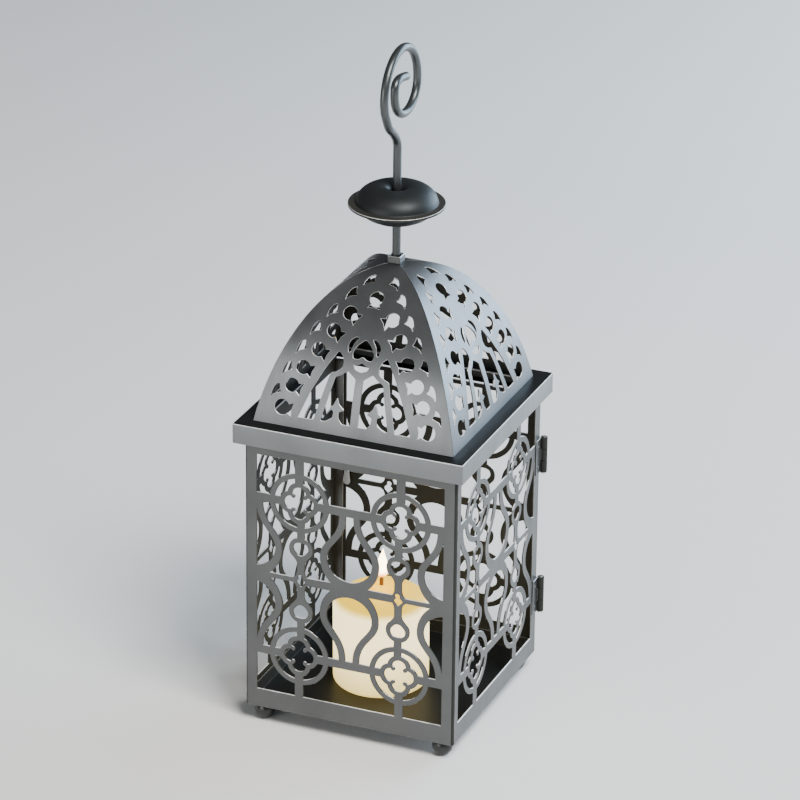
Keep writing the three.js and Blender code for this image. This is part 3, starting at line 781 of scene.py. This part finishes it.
def quatrefoil_opening():
    """Four round lobes with a small ball on the cusp between each two."""
    lobes = [(circle(x, y, LOBE["inner"], 0.7), []) for x, y in lobe_centres()]
    lobes.append((circle(0, 0, 3.2, 0.7), []))
    cx, cy = LOBE["cusp"]
    half = 0.85
    stem = [(cx + half, cy - half), (cx + 2, cy + 1), (cx + 1, cy + 2), (cx - half, cy + half)]
    cuts = []
    for sx, sy in ((1, 1), (-1, 1), (-1, -1), (1, -1)):
        cuts.append(circle(sx * cx, sy * cy, LOBE["ball"], 0.35))
        cuts.append(moved(stem, sx=sx, sy=sy))
    return overlay(lobes, cuts)


def rosette(x, y):
    ring = (circle(x, y, ROSETTE["outer"]), [circle(x, y, ROSETTE["inner"])])
    petals = [(circle(x + px, y + py, LOBE["outer"], 0.8), []) for px, py in lobe_centres()]
    return [ring] + petals


def eye_loop(sx, sy):
    """Round eye with straight shoulders down to the stem, and an egg-shaped hole."""
    outer = arc(0, 0, LOOP["outer"], LOOP["outer"], -27, 207)
    stem = STEM / 2
    shoulder = bezier(outer[-1], (-4.2, -5.2), (-stem - 0.1, -6.9), (-stem, -8.6), 6)[1:]
    outline = outer + shoulder + mirrored(shoulder)
    inside = rounded(LOOP_HOLE + mirrored(LOOP_HOLE), 1.5)
    return tuple(
        [(sx * (px + LOOP["x"]), sy * (py + LOOP["y"])) for px, py in loop] for loop in (outline, inside)
    )


def boss_plate(x):
    """Filleted crossing of stem and crossbar."""
    quarter = bezier((5.6, 1.3), (3.6, 1.6), (2.5, 2.8), (STEM / 2, 5.6), 10)
    half = quarter + mirrored(quarter)
    whole = half + [(px, -py) for px, py in half[::-1]]
    return [(px + x, py) for px, py in without_repeats(whole)]


def boss_slot(x):
    """A small round hole that runs into a lozenge below it."""
    lozenge = rounded([(2.8, -0.9), (0.1, 1.9), (-2.6, -0.9), (0.1, -3.7)], 0.8)
    both = overlay([(circle(-0.4, 2.0, 1.35, 0.4), []), (lozenge, [])])
    return moved(both[0], x)


def fretwork():
    """Outline loops of the whole grille, clipped just inside the rails and stiles."""
    strokes, cuts = [], []
    opening = quatrefoil_opening()
    half_x, half_y = WINDOW_HALF
    beside, above = LOBE["across"] + LOBE["outer"] - 1.2, LOBE["up"] + LOBE["outer"] - 1.2
    x, y = ROSETTE["x"], ROSETTE["y"]
    for sy in (1, -1):
        for sx in (1, -1):
            strokes += rosette(sx * x, sy * y)
            cuts += [moved(loop, sx * x, sy * y) for loop in opening]
            eye, hole = eye_loop(sx, sy)
            strokes.append((eye, [hole]))
            for x0, y0, x1, y1 in (
                (x - BAR / 2, y + above, x + BAR / 2, half_y + 2),
                (x + beside, y - BAR / 2, half_x + 2, y + BAR / 2),
                (-0.5, y - BAR / 2, x - beside, y + BAR / 2),
                (LOOP["x"] - STEM / 2, LOOP["y"] + 5.6, LOOP["x"] + STEM / 2, y - above),
                (LOOP["x"] - STEM / 2, 3, LOOP["x"] + STEM / 2, LOOP["y"] - 7),
            ):
                strokes.append((rectangle(sx * x0, sy * y0, sx * x1, sy * y1), []))
        for column in (-1, 0, 1):
            strokes.append(bulb(column * BULB["pitch"], sy))
    thin, thick, reach = CROSSBAR["outer"] / 2, CROSSBAR["inner"] / 2, half_x + 2
    strokes.append((rectangle(-reach, -thin, reach, thin), []))
    strokes.append((rectangle(-LOOP["x"], -thick, LOOP["x"], thick), []))
    for sx in (1, -1):
        strokes.append((boss_plate(sx * LOOP["x"]), []))
        cuts.append(boss_slot(sx * LOOP["x"]))
    far, edge_x, edge_y = 100, half_x + 0.8, half_y + 0.8
    outside = [
        rectangle(edge_x, -far, far, far), rectangle(-far, -far, -edge_x, far),
        rectangle(-far, edge_y, far, far), rectangle(-far, -far, far, -edge_y),
    ]
    return overlay(strokes, cuts + outside)


def wall_loops(grille, left, right, top, cuts=(), joints=(), centre=WINDOW_Z):
    """A pierced wall's outline loops. joints are places along the top and bottom edges to keep."""
    low, high = BASE_Z - centre, top - centre
    half_x, half_y = WINDOW_HALF
    window = rectangle(-half_x, -half_y, half_x, half_y)
    outers = [loop for loop in grille if area(loop) > 0]
    holes = [loop for loop in grille if area(loop) < 0]
    strokes = [(rectangle(left, low, right, high), [window])] + [(outer, holes) for outer in outers]
    loops = overlay(strokes, cuts)
    if joints:
        rim = max(range(len(loops)), key=lambda i: abs(area(loops[i])))
        bottom = sorted(joints)
        loops[rim] = (
            [(left, low)] + [(x, low) for x in bottom] + [(right, low), (right, high)]
            + [(x, high) for x in bottom[::-1]] + [(left, high)]
        )
    return loops


def on_front(u, w, depth):
    """Front wall: flat between two bends that turn it back into short returns."""
    flat_end = HALF - BEND_R
    side, reach = math.copysign(1, u), abs(u)
    radius = BEND_R - SHEET / 2
    z = WINDOW_Z + w
    if reach <= flat_end:
        return (u, -(HALF - SHEET / 2) - depth, z)
    angle = (reach - flat_end) / radius
    if angle <= math.pi / 2:
        x = flat_end + (radius + depth) * math.sin(angle)
        return (side * x, -flat_end - (radius + depth) * math.cos(angle), z)
    rest = reach - flat_end - radius * math.pi / 2
    return (side * (flat_end + radius + depth), -flat_end + rest, z)


def on_flat(centre):
    """Places a flat front wall whose window's middle is at the height centre."""
    return lambda u, w, depth: (u, -(HALF - SHEET / 2) - depth, centre + w)


def add_wall(name, body, quarters, rides, node, outside=None):
    wall = turned(body, quarters)
    # The back and the cut edges that do not face up take the near-black painted shade.
    mats = [outside or GUNMETAL, DARK_PAINTED_SHADE]
    piece(name, wall, rides, [node], mats, second=behind(wall))


def make_walls():
    grille = fretwork()
    flat_end = HALF - BEND_R
    bend = (BEND_R - SHEET / 2) * math.pi / 2
    edge = flat_end + bend + PANEL_HIGH[1] + flat_end
    places = [flat_end + bend * k / 5 for k in range(6)]
    joints = [-x for x in places[::-1]] + places
    loops = wall_loops(grille, -edge, edge, WALL_TOP, joints=joints)
    low, high = BASE_Z - WINDOW_Z, WALL_TOP - WINDOW_Z
    creases = [((x, low), (x, high)) for x in joints]
    front = sheet_body(loops, on_front, creases=creases, cut=1.0)
    is_back = behind(front)
    # The bends and returns at the front wall's sides take the near-black painted shade, a painted dark line
    # along each front corner, as do the back and the shaded cut edges.
    is_side = lambda face: abs(face.normal.x) > 0.45 and face.center.y < 0
    is_painted_shade = lambda face: is_back(face) or is_side(face)
    mats = [GUNMETAL, DARK_PAINTED_SHADE]
    piece("front_wall", front, "lantern", ["front_panel"], mats, second=is_painted_shade)
    near = cad("right_panel")[0][1]
    right = sheet_body(wall_loops(grille, near, HALF, WALL_TOP), on_flat(WINDOW_Z), cut=1.0)
    left = sheet_body(wall_loops(grille, -HALF, -near, WALL_TOP), on_flat(WINDOW_Z), cut=1.0)
    add_wall("right_wall", right, 1, "lantern", "right_panel")
    add_wall("left_wall", left, 3, "lantern", "left_panel")
    half, latch_hole = DOOR_HIGH[0], circle(LATCH_X, 0, 1.5, 0.4)
    door_loops = wall_loops(grille, -half, half, DOOR_HIGH[2], [latch_hole], centre=DOOR_WINDOW_Z)
    door = sheet_body(door_loops, on_flat(DOOR_WINDOW_Z), cut=1.0)
    add_wall("back_door", door, 2, "door", "door_panel")


# ---- hardware

LATCH_LOW, LATCH_HIGH = cad("latch_knob")
TONGUE_LOW, TONGUE_HIGH = cad("latch_tongue")
LATCH_X = -(LATCH_LOW[0] + LATCH_HIGH[0]) / 2
LATCH_Z = (LATCH_LOW[2] + LATCH_HIGH[2]) / 2
FACING_Y = Matrix(((1, 0, 0), (0, 0, 1), (0, -1, 0)))
FACING_X = Matrix(((0, 0, 1), (0, 1, 0), (-1, 0, 0)))


def level_plate(loops, z, thickness, bevel):
    """A horizontal plate whose underside is at z."""
    return sheet_body(loops, lambda x, y, depth: (x, y, z + thickness / 2 + depth), thickness, bevel)


def make_strip():
    wide = [STRIP_LOW[0], STRIP_LOW[2], STRIP_HIGH[0], STRIP_HIGH[2]]
    middle = (STRIP_LOW[1] + STRIP_HIGH[1]) / 2
    body = sheet_body([rounded(rectangle(*wide), 0.8)], lambda x, z, depth: (x, middle - depth, z))
    piece("stop_strip", body, "lantern", ["door_stop_strip"], [GUNMETAL])


def knuckle(axis, low, high):
    bore, outer = HINGE["bore"], HINGE["knuckle"]
    ring = rounded([(bore, low), (outer, low), (outer, high), (bore, high)], 0.18, 3)
    return lathe_body(ring, 28, axis, axis)


def rivet(radius=1.0, height=0.45):
    """A low domed head standing on z = 0."""
    dome = [(radius * math.cos(a), height * math.sin(a)) for a in (i * math.pi / 12 for i in range(6))]
    return lathe_body([(0, -0.1), (radius, -0.1)] + dome + [(0, height)], 18)


def hinge_leaf(outline, on_right):
    """A flat leaf against the right wall's outside, or against the door's."""
    middle = HALF + HINGE["leaf"] / 2

    def place(a, z, depth):
        return (middle + depth, a, z) if on_right else (a, middle + depth, z)

    plate = sheet_body([outline], place, HINGE["leaf"], 0.12)
    return plate if on_right else flipped(plate)


def rivet_head(a, z, on_right):
    outside = HALF + HINGE["leaf"]
    if on_right:
        return laid(rivet(), FACING_X, Vector((outside, a, z)))
    return laid(rivet(), FACING_Y, Vector((a, outside, z)))


def hinge_pin(low, high, barrel_low, axis):
    """A straight pin with a head under the barrel."""
    radius, head = HINGE["pin"], HINGE["knuckle"] - HINGE["play"]
    outline = [(0, low), (head * 0.7, low), (head, low + 0.3), (head, barrel_low - 0.2),
               (radius, barrel_low - 0.15), (radius, high - 0.15), (radius - 0.2, high), (0, high)]
    return lathe_body(outline, 28, axis, axis)


def make_hinge(label):
    """The frame's leaf has the two end knuckles, and the door's leaf the middle one."""
    low, high = cad(f"hinge_{label}_frame_leaf")
    pin_low, pin_high = cad(f"hinge_{label}_pin")
    axis = (pin_low[0] + pin_high[0]) / 2
    z0, z1 = low[2], high[2]
    third, play = (z1 - z0) / 3, HINGE["play"]
    end_low, end_high = z0 + third - play, z1 - third + play
    mid_low, mid_high = z0 + third + play, z1 - third - play
    far, near, tab = low[1], HALF - GAP, HINGE["tab"]
    ends = [(far, z0), (tab, z0), (tab, end_low), (near, end_low),
            (near, end_high), (tab, end_high), (tab, z1), (far, z1)]
    middle = [(far, z0), (near, z0), (near, mid_low), (tab, mid_low),
              (tab, mid_high), (near, mid_high), (near, z1), (far, z1)]
    is_barrel = lambda face: math.dist(face.center[:2], (axis * MM, axis * MM)) < 2 * MM
    for side, body, outline, spans in (
        ("frame", "lantern", ends, [(z0, end_low), (end_high, z1)]),
        ("door", "door", middle, [(mid_low, mid_high)]),
    ):
        on_right = side == "frame"
        barrels = [knuckle(axis, *span) for span in spans]
        heads = [rivet_head(far + 2.2, z, on_right) for z in (z0 + 4.2, z1 - 4.2)]
        whole = joined(hinge_leaf(outline, on_right), *barrels, *heads)
        piece(f"{label}_hinge_{side}_side", whole, body, [f"hinge_{label}_{side}_leaf"],
              [GUNMETAL, DARK_PAINTED_SHADE], second=is_barrel)
    pin = hinge_pin(pin_low[2], pin_high[2], z0, axis)
    piece(f"{label}_hinge_pin", pin, "lantern", [f"hinge_{label}_pin"], [STEEL])


def make_latch():
    """Thumb knob on the outside of the door, and a cam tongue on the inside."""
    x, outside = -LATCH_X, HALF + 0.2
    disc = rounded([(0, 0), (3.4, 0), (3.4, 1.3), (2.9, 1.6), (0, 1.6)], 0.3, 5, closed=False)
    shaft = [(0, -3.2), (1.15, -3.2), (1.15, 0.2), (0, 0.2)]
    spot = Vector((x, outside, LATCH_Z))
    bodies = [laid(lathe_body(profile, 36), FACING_Y, spot) for profile in (disc, shaft)]
    wing_top = LATCH_HIGH[1] - outside
    wing = rounded([(-5, 1.0), (5, 1.0), (4.6, wing_top), (1.6, wing_top - 0.4),
                    (-1.6, wing_top - 0.4), (-4.6, wing_top)], 0.7)
    upright = lambda z, y, depth: (x + depth, outside + y, LATCH_Z + z)
    bodies.append(flipped(sheet_body([facing(wing)], upright, 1.8, 0.3)))
    piece("thumb_knob", joined(*bodies), "latch", ["latch_knob"], [STEEL])
    middle = (TONGUE_LOW[1] + TONGUE_HIGH[1]) / 2
    reach = TONGUE_HIGH[2] - LATCH_Z - 1.5
    outline = arc(0, 0, 2.2, 2.2, 180, 360, 0.4) + arc(0, reach, 1.5, 1.5, 0, 180, 0.4)
    tongue = sheet_body([outline], lambda px, pz, depth: (x + px, middle - depth, LATCH_Z + pz))
    piece("cam_tongue", tongue, "latch", ["latch_tongue"], [STEEL])


# ---- base


def make_tray():
    half, floor, top = TRAY_HIGH[0], TRAY_LOW[2], TRAY_HIGH[2]
    inner = half - SHEET
    lip = [(half - 6, floor), (half, floor), (half, top), (inner, top), (inner, floor + SHEET),
           (half - 6, floor + SHEET)]
    section = [(half - 12, floor)] + rounded(lip, 0.25, 3, closed=False) + [(half - 12, floor + SHEET)]
    body = square_sweep(section, floor + 1, 0.9, closed=False)
    # The floor and the inside faces of the lip take the painted shade.
    inner_side = lambda face: face.normal.z > -0.5 and max(map(abs, face.center[:2])) < (half - 0.3) * MM
    mats = [GUNMETAL, TRAY_FLOOR_SHADE]
    piece("tray", body, "lantern", ["base_tray"], mats, second=inner_side)


def make_feet():
    """Turned ball feet with a small flat to stand on and a short neck under the tray."""
    radius, centre = FOOT_BALL["radius"], FOOT_BALL["centre"]
    low, high = math.asin(-centre / radius), math.radians(FOOT_BALL["top"])
    ball = [(radius * math.cos(a), centre + radius * math.sin(a))
            for a in (low + (high - low) * i / 26 for i in range(27))]
    profile = [(0, 0), (ball[0][0], 0)] + ball[1:] + [(FOOT_BALL["neck"], BASE_Z), (0, BASE_Z)]
    for corner in ("front_left", "front_right", "rear_left", "rear_right"):
        foot_low, foot_high = cad(f"foot_{corner}")
        x, y = (foot_low[0] + foot_high[0]) / 2, (foot_low[1] + foot_high[1]) / 2
        body = lathe_body(profile, 40, x, y)
        piece(f"ball_foot_{corner}", body, "lantern", [f"foot_{corner}"], [FOOT])


# ---- roof


def make_cornice():
    half, low, top = CORNICE_HIGH[0], CORNICE_LOW[2], CORNICE_HIGH[2]
    inside, throat, mouth = half - SHEET, HALF + GAP, 52
    section = rounded([(throat, low), (half, low), (half, top), (mouth, top), (mouth, top - SHEET),
                       (inside, top - SHEET), (inside, low + SHEET), (throat, low + SHEET)], 0.35, 3)
    body = square_sweep(section, low + 3, 0.8, 4)
    # The ledge and the cornice's inner faces take the near-black painted shade.
    ledge = lambda face: max(map(abs, face.center[:2])) < (half - 0.3) * MM
    piece("cornice_rim", body, "lantern", ["cornice"], [CORNICE_SHEEN, LEDGE_SHADE], second=ledge)


def meridian_table(count=600):
    """The dome's side section: running length, distance from the axis, height and outward slope."""
    points = bezier(*DOME_CURVE, count)
    rows, length = [], 0.0
    for i, (reach, height) in enumerate(points):
        if i:
            length += math.dist(points[i - 1], points[i])
        a, b = points[max(0, i - 1)], points[min(count, i + 1)]
        run = math.dist(a, b)
        rows.append((length, reach, height, (b[1] - a[1]) / run, (a[0] - b[0]) / run))
    return rows


MERIDIAN = meridian_table()
RISE = MERIDIAN[-1][0]


def on_meridian(length):
    position = min(max(length, 0), RISE)
    after = min(bisect_right(MERIDIAN, position, key=lambda row: row[0]), len(MERIDIAN) - 1)
    a, b = MERIDIAN[after - 1], MERIDIAN[after]
    t = (position - a[0]) / (b[0] - a[0])
    return [p + (q - p) * t for p, q in zip(a, b)]


def on_petal(u, v, depth):
    """Lays the unrolled sheet on the front of the dome, mitred where it meets its neighbours."""
    _, reach, height, out, up = on_meridian(v)
    offset = depth - SHEET / 2
    reach += out * offset
    z = max(DOME_Z, DOME_Z + height + up * offset)
    limit = reach - HIP_GAP
    return (max(-limit, min(limit, u)), -reach, z)


HIP_GAP = 0.12

FISH_HOLES = [(12, 64.7, 212), (18.6, 54.2, 212), (25, 43.1, 205), (32, 32.6, 197),
              (36.8, 22.3, 196), (41.1, 10, 187)]
FIN_HOLES = [(6.9, 85), (14, 75.6), (21.6, 64.5), (28.6, 54), (34.6, 43), (40.6, 30.8), (45.4, 18.3)]
FIN = [(-1.7, 4), (0.3, 3.2), (1.6, 1.2), (2.4, -1.2), (2.7, -4), (1.4, -2.2), (-0.2, -1.4),
       (-1.6, -1.0), (-3, -0.5), (-2.2, 0.6), (-1.8, 1.8), (-1.7, 3)]
CRESCENT = [(3.6, 52.7), (5.6, 53), (8.2, 50.8), (9.2, 47.5), (8.4, 44.2), (7.2, 44.8),
            (6.5, 48.6), (5, 51)]
OUTER_LIGHT = [(13.6, 44.3), (19.4, 34.6), (25.9, 21.4), (31.8, 6.2), (22.9, 6.2), (16.4, 32.3),
               (13.2, 33.4), (10.4, 35.6), (9.9, 38.6), (11.2, 42)]
INNER_LIGHT = [(2.2, 31), (7.1, 34.6), (10.2, 32), (13.4, 30.4), (19, 6.3), (16.6, 6.4), (12.6, 9),
               (12.2, 12.6), (15, 13.8), (12.6, 15.6), (10.7, 20), (9.2, 16.4), (6.2, 13.8),
               (9.4, 12.4), (9, 9), (7, 6.3), (2.2, 6.3)]
HEART = [(0, 52.3), (3.7, 49), (6, 44.8), (5.3, 41.5), (2.4, 41.5), (0, 43.2),
         (-2.4, 41.5), (-5.3, 41.5), (-6, 44.8), (-3.7, 49)]
SMILE = [(-4.6, 38.6), (-1.9, 38.7), (0, 40.1), (1.9, 38.7), (4.6, 38.6), (3.2, 36), (0, 35), (-3.2, 36)]


def fish(x, y, tail):
    """A round hole whose flared tail points along tail degrees."""
    radius = 4.2 if y < 11 else 3.8
    round_part = arc(0, 0, radius, radius, 34, 326, 0.8)
    flare = [(5.9, -3.5), (5.3, 0), (5.9, 3.5)]
    return moved(round_part + flare, x, y, turn=tail)


def petal_loops():
    side, count = [], 40
    for i in range(count + 1):
        length = RISE * i / count
        side.append((on_meridian(length)[1], length))
    outline = side + mirrored(side)
    right = [fish(*hole) for hole in FISH_HOLES]
    right += [rounded(moved(FIN, *hole), 0.45) for hole in FIN_HOLES]
    right += [rounded(CRESCENT, 1.1), rounded(OUTER_LIGHT, 0.9), rounded(INNER_LIGHT, 0.8)]
    left = [moved(hole, sx=-1) for hole in right]
    middle = [fish(0, 75, 270), rounded(HEART, 1.1), rounded(SMILE, 0.7)]
    return overlay([(outline, [])], right + left + middle)


def make_dome():
    loops = [subdivided(loop, 1.8) for loop in petal_loops()]
    body = sheet_body(loops, on_petal, points=inner_points(loops, 2.1, 0.7), wear_and_highlight=0.8, cut=1.0)
    for quarters, side in enumerate(("front", "right", "back", "left")):
        add_wall(f"petal_{side}", body, quarters, "lantern", f"dome_petal_{side}", DOME_PAINT)


def make_collar():
    half, low, high = COLLAR_HIGH[0], COLLAR_LOW[2], COLLAR_HIGH[2]
    loops = [rounded(rectangle(-half, -half, half, half), 0.6), circle(0, 0, 2.8, 0.4)[::-1]]
    body = level_plate(loops, low, high - low, 0.45)
    piece("collar_block", body, "lantern", ["dome_collar"], [GUNMETAL])


# ---- hanger


def hook_path():
    """Up the stem, out to the front, over the spiral's top and down into its curl."""
    route = [(0, HOOK_FOOT)] + STEM_ROUTE
    for angle in range(HOOK["from"], HOOK["to"] - 1, -HOOK["step"]):
        ease = min(1, max(0, -angle / HOOK["curled"]))
        inward = ease * ease * (3 - 2 * ease)
        radius = HOOK["radius"] + (HOOK["curl"] - HOOK["radius"]) * inward
        a = math.radians(angle)
        lean = HOOK["lean"] * max(0, -math.sin(a))
        rise = math.sin(a) * (HOOK["squash"] if -180 < angle < 0 else 1)
        route.append((HOOK["y"] + lean + radius * math.cos(a), HOOK["z"] + radius * rise))
    return spline([(0, y, z) for y, z in route + HOOK_TIP], 1.3)


def disc_shell(name, node, section, wear_and_highlight, flange):
    """One turned shell of the disc, whose rim may be brightened along its upper edge, as wear and a painted
    highlight line.
    """
    body = lathe_body(rounded(facing(section), 0.8, 5), 96, z=FINIAL_Z)
    rim = max(math.hypot(x, y) for x, y, _ in body["verts"]) - 0.2
    for number, face in enumerate(body["faces"]):
        corners = [body["verts"][i] for i in face]
        if all(math.hypot(x, y) > rim and z > FINIAL_Z + 0.35 for x, y, z in corners):
            body["edge"][number] = wear_and_highlight
    # The cap's flange faces take the lighter painted sheen; the saucer's stay in the disc paint.
    is_flange = lambda face: math.hypot(*face.center[:2]) > 21.9 * MM
    piece(name, body, "hanger", [node], [DISC, flange], second=is_flange)


def make_hanger():
    wire = tube_body(hook_path(), WIRE_R, 28, 0.7)
    piece("wire_hook", wire, "hanger", ["hanger_hook"], [WIRE])
    cap = [(DISC_RIM, 0), (DISC_RIM, 0.8), (21.8, 0.8)]
    cap += arc(9.4, 0.8, 12.2, 9.0, 6, 90, 1.2)
    cap += bezier((9.4, 9.8), (6.4, 9.8), (4.3, 8.7), (3.4, 5.8), 8)[1:]
    cap += bezier((4.2, 5.7), (5.0, 7.9), (6.6, 9.0), (9.4, 9.0), 8)
    cap += arc(9.4, 0, 11.4, 9.0, 90, 0, 1.2)[1:]
    saucer = [(DISC_RIM, -0.8), (DISC_RIM, 0), (20.8, 0), (19.5, -2.6), (16.4, -5.4), (12, -7.6), (8, -8.9),
              (2.7, -9.4), (2.7, -10.2), (8.2, -9.7), (12.4, -8.4), (17, -6.1), (20.3, -3.2), (21.6, -0.8)]
    disc_shell("disc_cap", "finial_cap", cap, 0.9, RIM_PAINTED_SHEEN)
    disc_shell("disc_saucer", "finial_saucer", saucer, 0.0, DISC)


def make_nut():
    bore = circle(0, 0, WIRE_R + 0.15, 0.4)[::-1]
    radius = WASHER_HIGH[0]
    washer = level_plate([circle(0, 0, radius, 0.8), bore], WASHER_LOW[2], SHEET, 0.12)
    flats = [(4 * math.cos(math.radians(60 * i)), 4 * math.sin(math.radians(60 * i))) for i in range(6)]
    height = NUT_HIGH[2] - NUT_LOW[2]
    nut = level_plate([rounded(flats, 0.5), bore], NUT_LOW[2], height, 0.35)
    piece("round_washer", washer, "hanger", ["hanger_washer"], [STEEL])
    piece("hex_nut", nut, "hanger", ["hanger_nut"], [STEEL])


# ---- candle


def candle_profile(radius, height):
    """An eased foot, a straight side, an eased shoulder and a gently domed top."""
    foot, ease, shoulder = CANDLE["foot"], CANDLE["ease"], height - CANDLE["crown"]
    profile = [(0, 0), (radius - 4, 0)] + arc(radius - foot, foot, foot, foot, -80, 0, 0.5)
    profile += [(radius, shoulder * k / 12) for k in range(2, 12)]
    profile += arc(radius - ease, shoulder - ease, ease, ease, 0, 55, 0.35)
    return profile + [(radius * reach, shoulder + CANDLE["crown"] * rise) for reach, rise in CROWN]


def make_candle():
    x, y = CANDLE_X, CANDLE_Y
    low, top = CANDLE_LOW[2], CANDLE_HIGH[2]
    radius, height = (CANDLE_HIGH[0] - CANDLE_LOW[0]) / 2, top - low

    def melted(r, h, angle):
        """The shoulder sags a little in places, and the side is slightly uneven."""
        share = (h / height) ** 6 * min(1, r / 6)
        sag = 0.18 * share * (1 + math.sin(angle * 2 + 0.7) + 0.4 * math.sin(angle * 5))
        swell = 0.12 * math.sin(angle * 3 + h * 0.08) * min(1, r / radius)
        return r - 0.12 + swell, h - sag

    body = lathe_body(candle_profile(radius, height), 96, x, y, low, melted)
    piece("pillar_candle", body, "candle", ["candle_body"], [WAX])
    foot = top - 1
    bend = [(x, y, foot), (x, y, foot + 3), (x + 0.1, y, foot + 5.2), (x + 0.3, y - 0.1, foot + 7.4)]
    wick = tube_body(spline(bend, 0.5), 1.2, 16, 0.35, 0.95)
    piece("cotton_wick", wick, "candle", ["candle_wick"], [CHAR])


def make_flame():
    """A teardrop that starts a little down the wick and leans slightly to the right."""
    tall, wide, steps = FLAME_SHAPE["tall"], FLAME_SHAPE["wide"], FLAME_SHAPE["steps"]
    ways = [(1 - math.cos(math.pi * k / steps)) / 2 for k in range(steps + 1)]
    drop = lathe_body([(wide * t ** 0.45 * (1 - t) ** 1.3, tall * t) for t in ways], 40)
    base = WICK_TOP - FLAME_SHAPE["sunk"]
    verts = [(CANDLE_X + px + 0.003 * pz * pz, CANDLE_Y + py, base + pz) for px, py, pz in drop["verts"]]
    piece("flame", dict(drop, verts=verts), "candle", [], [FLAME])


# ---- set, light and camera


def softbox(name, place, size, power, colour):
    """A soft rectangular light aimed at the middle of the lantern, hidden from the camera."""
    data = bpy.data.lights.new(name, "AREA")
    data.shape, data.size, data.size_y = "RECTANGLE", size[0], size[1]
    data.energy, data.color = power, colour
    made = put(name, data)
    made.location = place
    made.rotation_mode = "QUATERNION"
    made.rotation_quaternion = (Vector((0, 0, 0.15)) - Vector(place)).to_track_quat("-Z", "Y")
    made.visible_camera = False


def make_set():
    mesh = bpy.data.meshes.new("floor")
    half = 4.0
    corners = [(x, y, 0) for x, y in rectangle(-half, -half, half, half)]
    mesh.from_pydata(corners, [], [(0, 1, 2, 3)])
    mesh.materials.append(plaster())
    put("floor", mesh)
    world = bpy.data.worlds.new("studio")
    world.use_nodes = True
    background = world.node_tree.nodes["Background"]
    background.inputs["Color"].default_value = WORLD["colour"]
    background.inputs["Strength"].default_value = WORLD["strength"]
    bpy.context.scene.world = world
    for light in SOFTBOXES:
        softbox(*light)
    lamp = bpy.data.lights.new("candle_light", "POINT")
    lamp.energy, lamp.color, lamp.shadow_soft_size = 0.03, (1.0, 0.62, 0.28), 0.004
    put("candle_light", lamp).location = (CANDLE_X * MM, CANDLE_Y * MM, (CANDLE_HIGH[2] + 24) * MM)


def make_camera():
    """Looks from the front right and above, a little rolled, through a long lens."""
    azimuth, elevation, roll = (math.radians(angle) for angle in CAMERA["turns"])
    level = math.cos(elevation)
    back = Vector((math.sin(azimuth) * level, -math.cos(azimuth) * level, math.sin(elevation)))
    right = Vector((math.cos(azimuth), math.sin(azimuth), 0))
    up = back.cross(right)
    c, s = math.cos(roll), math.sin(roll)
    across, above = right * c - up * s, right * s + up * c
    data = bpy.data.cameras.new("camera")
    data.sensor_width, data.lens, data.clip_end = 36, CAMERA["lens"], 50
    made = put("camera", data)
    turn = Matrix((across, above, back)).transposed().to_4x4()
    made.matrix_world = Matrix.Translation(Vector(CAMERA["target"]) + back * CAMERA["reach"]) @ turn
    bpy.context.scene.camera = made


make_camera()
make_set()
make_walls()
make_strip()
make_hinge("lower")
make_hinge("upper")
make_latch()
make_tray()
make_feet()
make_cornice()
make_dome()
make_collar()
make_hanger()
make_nut()
make_candle()
make_flame()
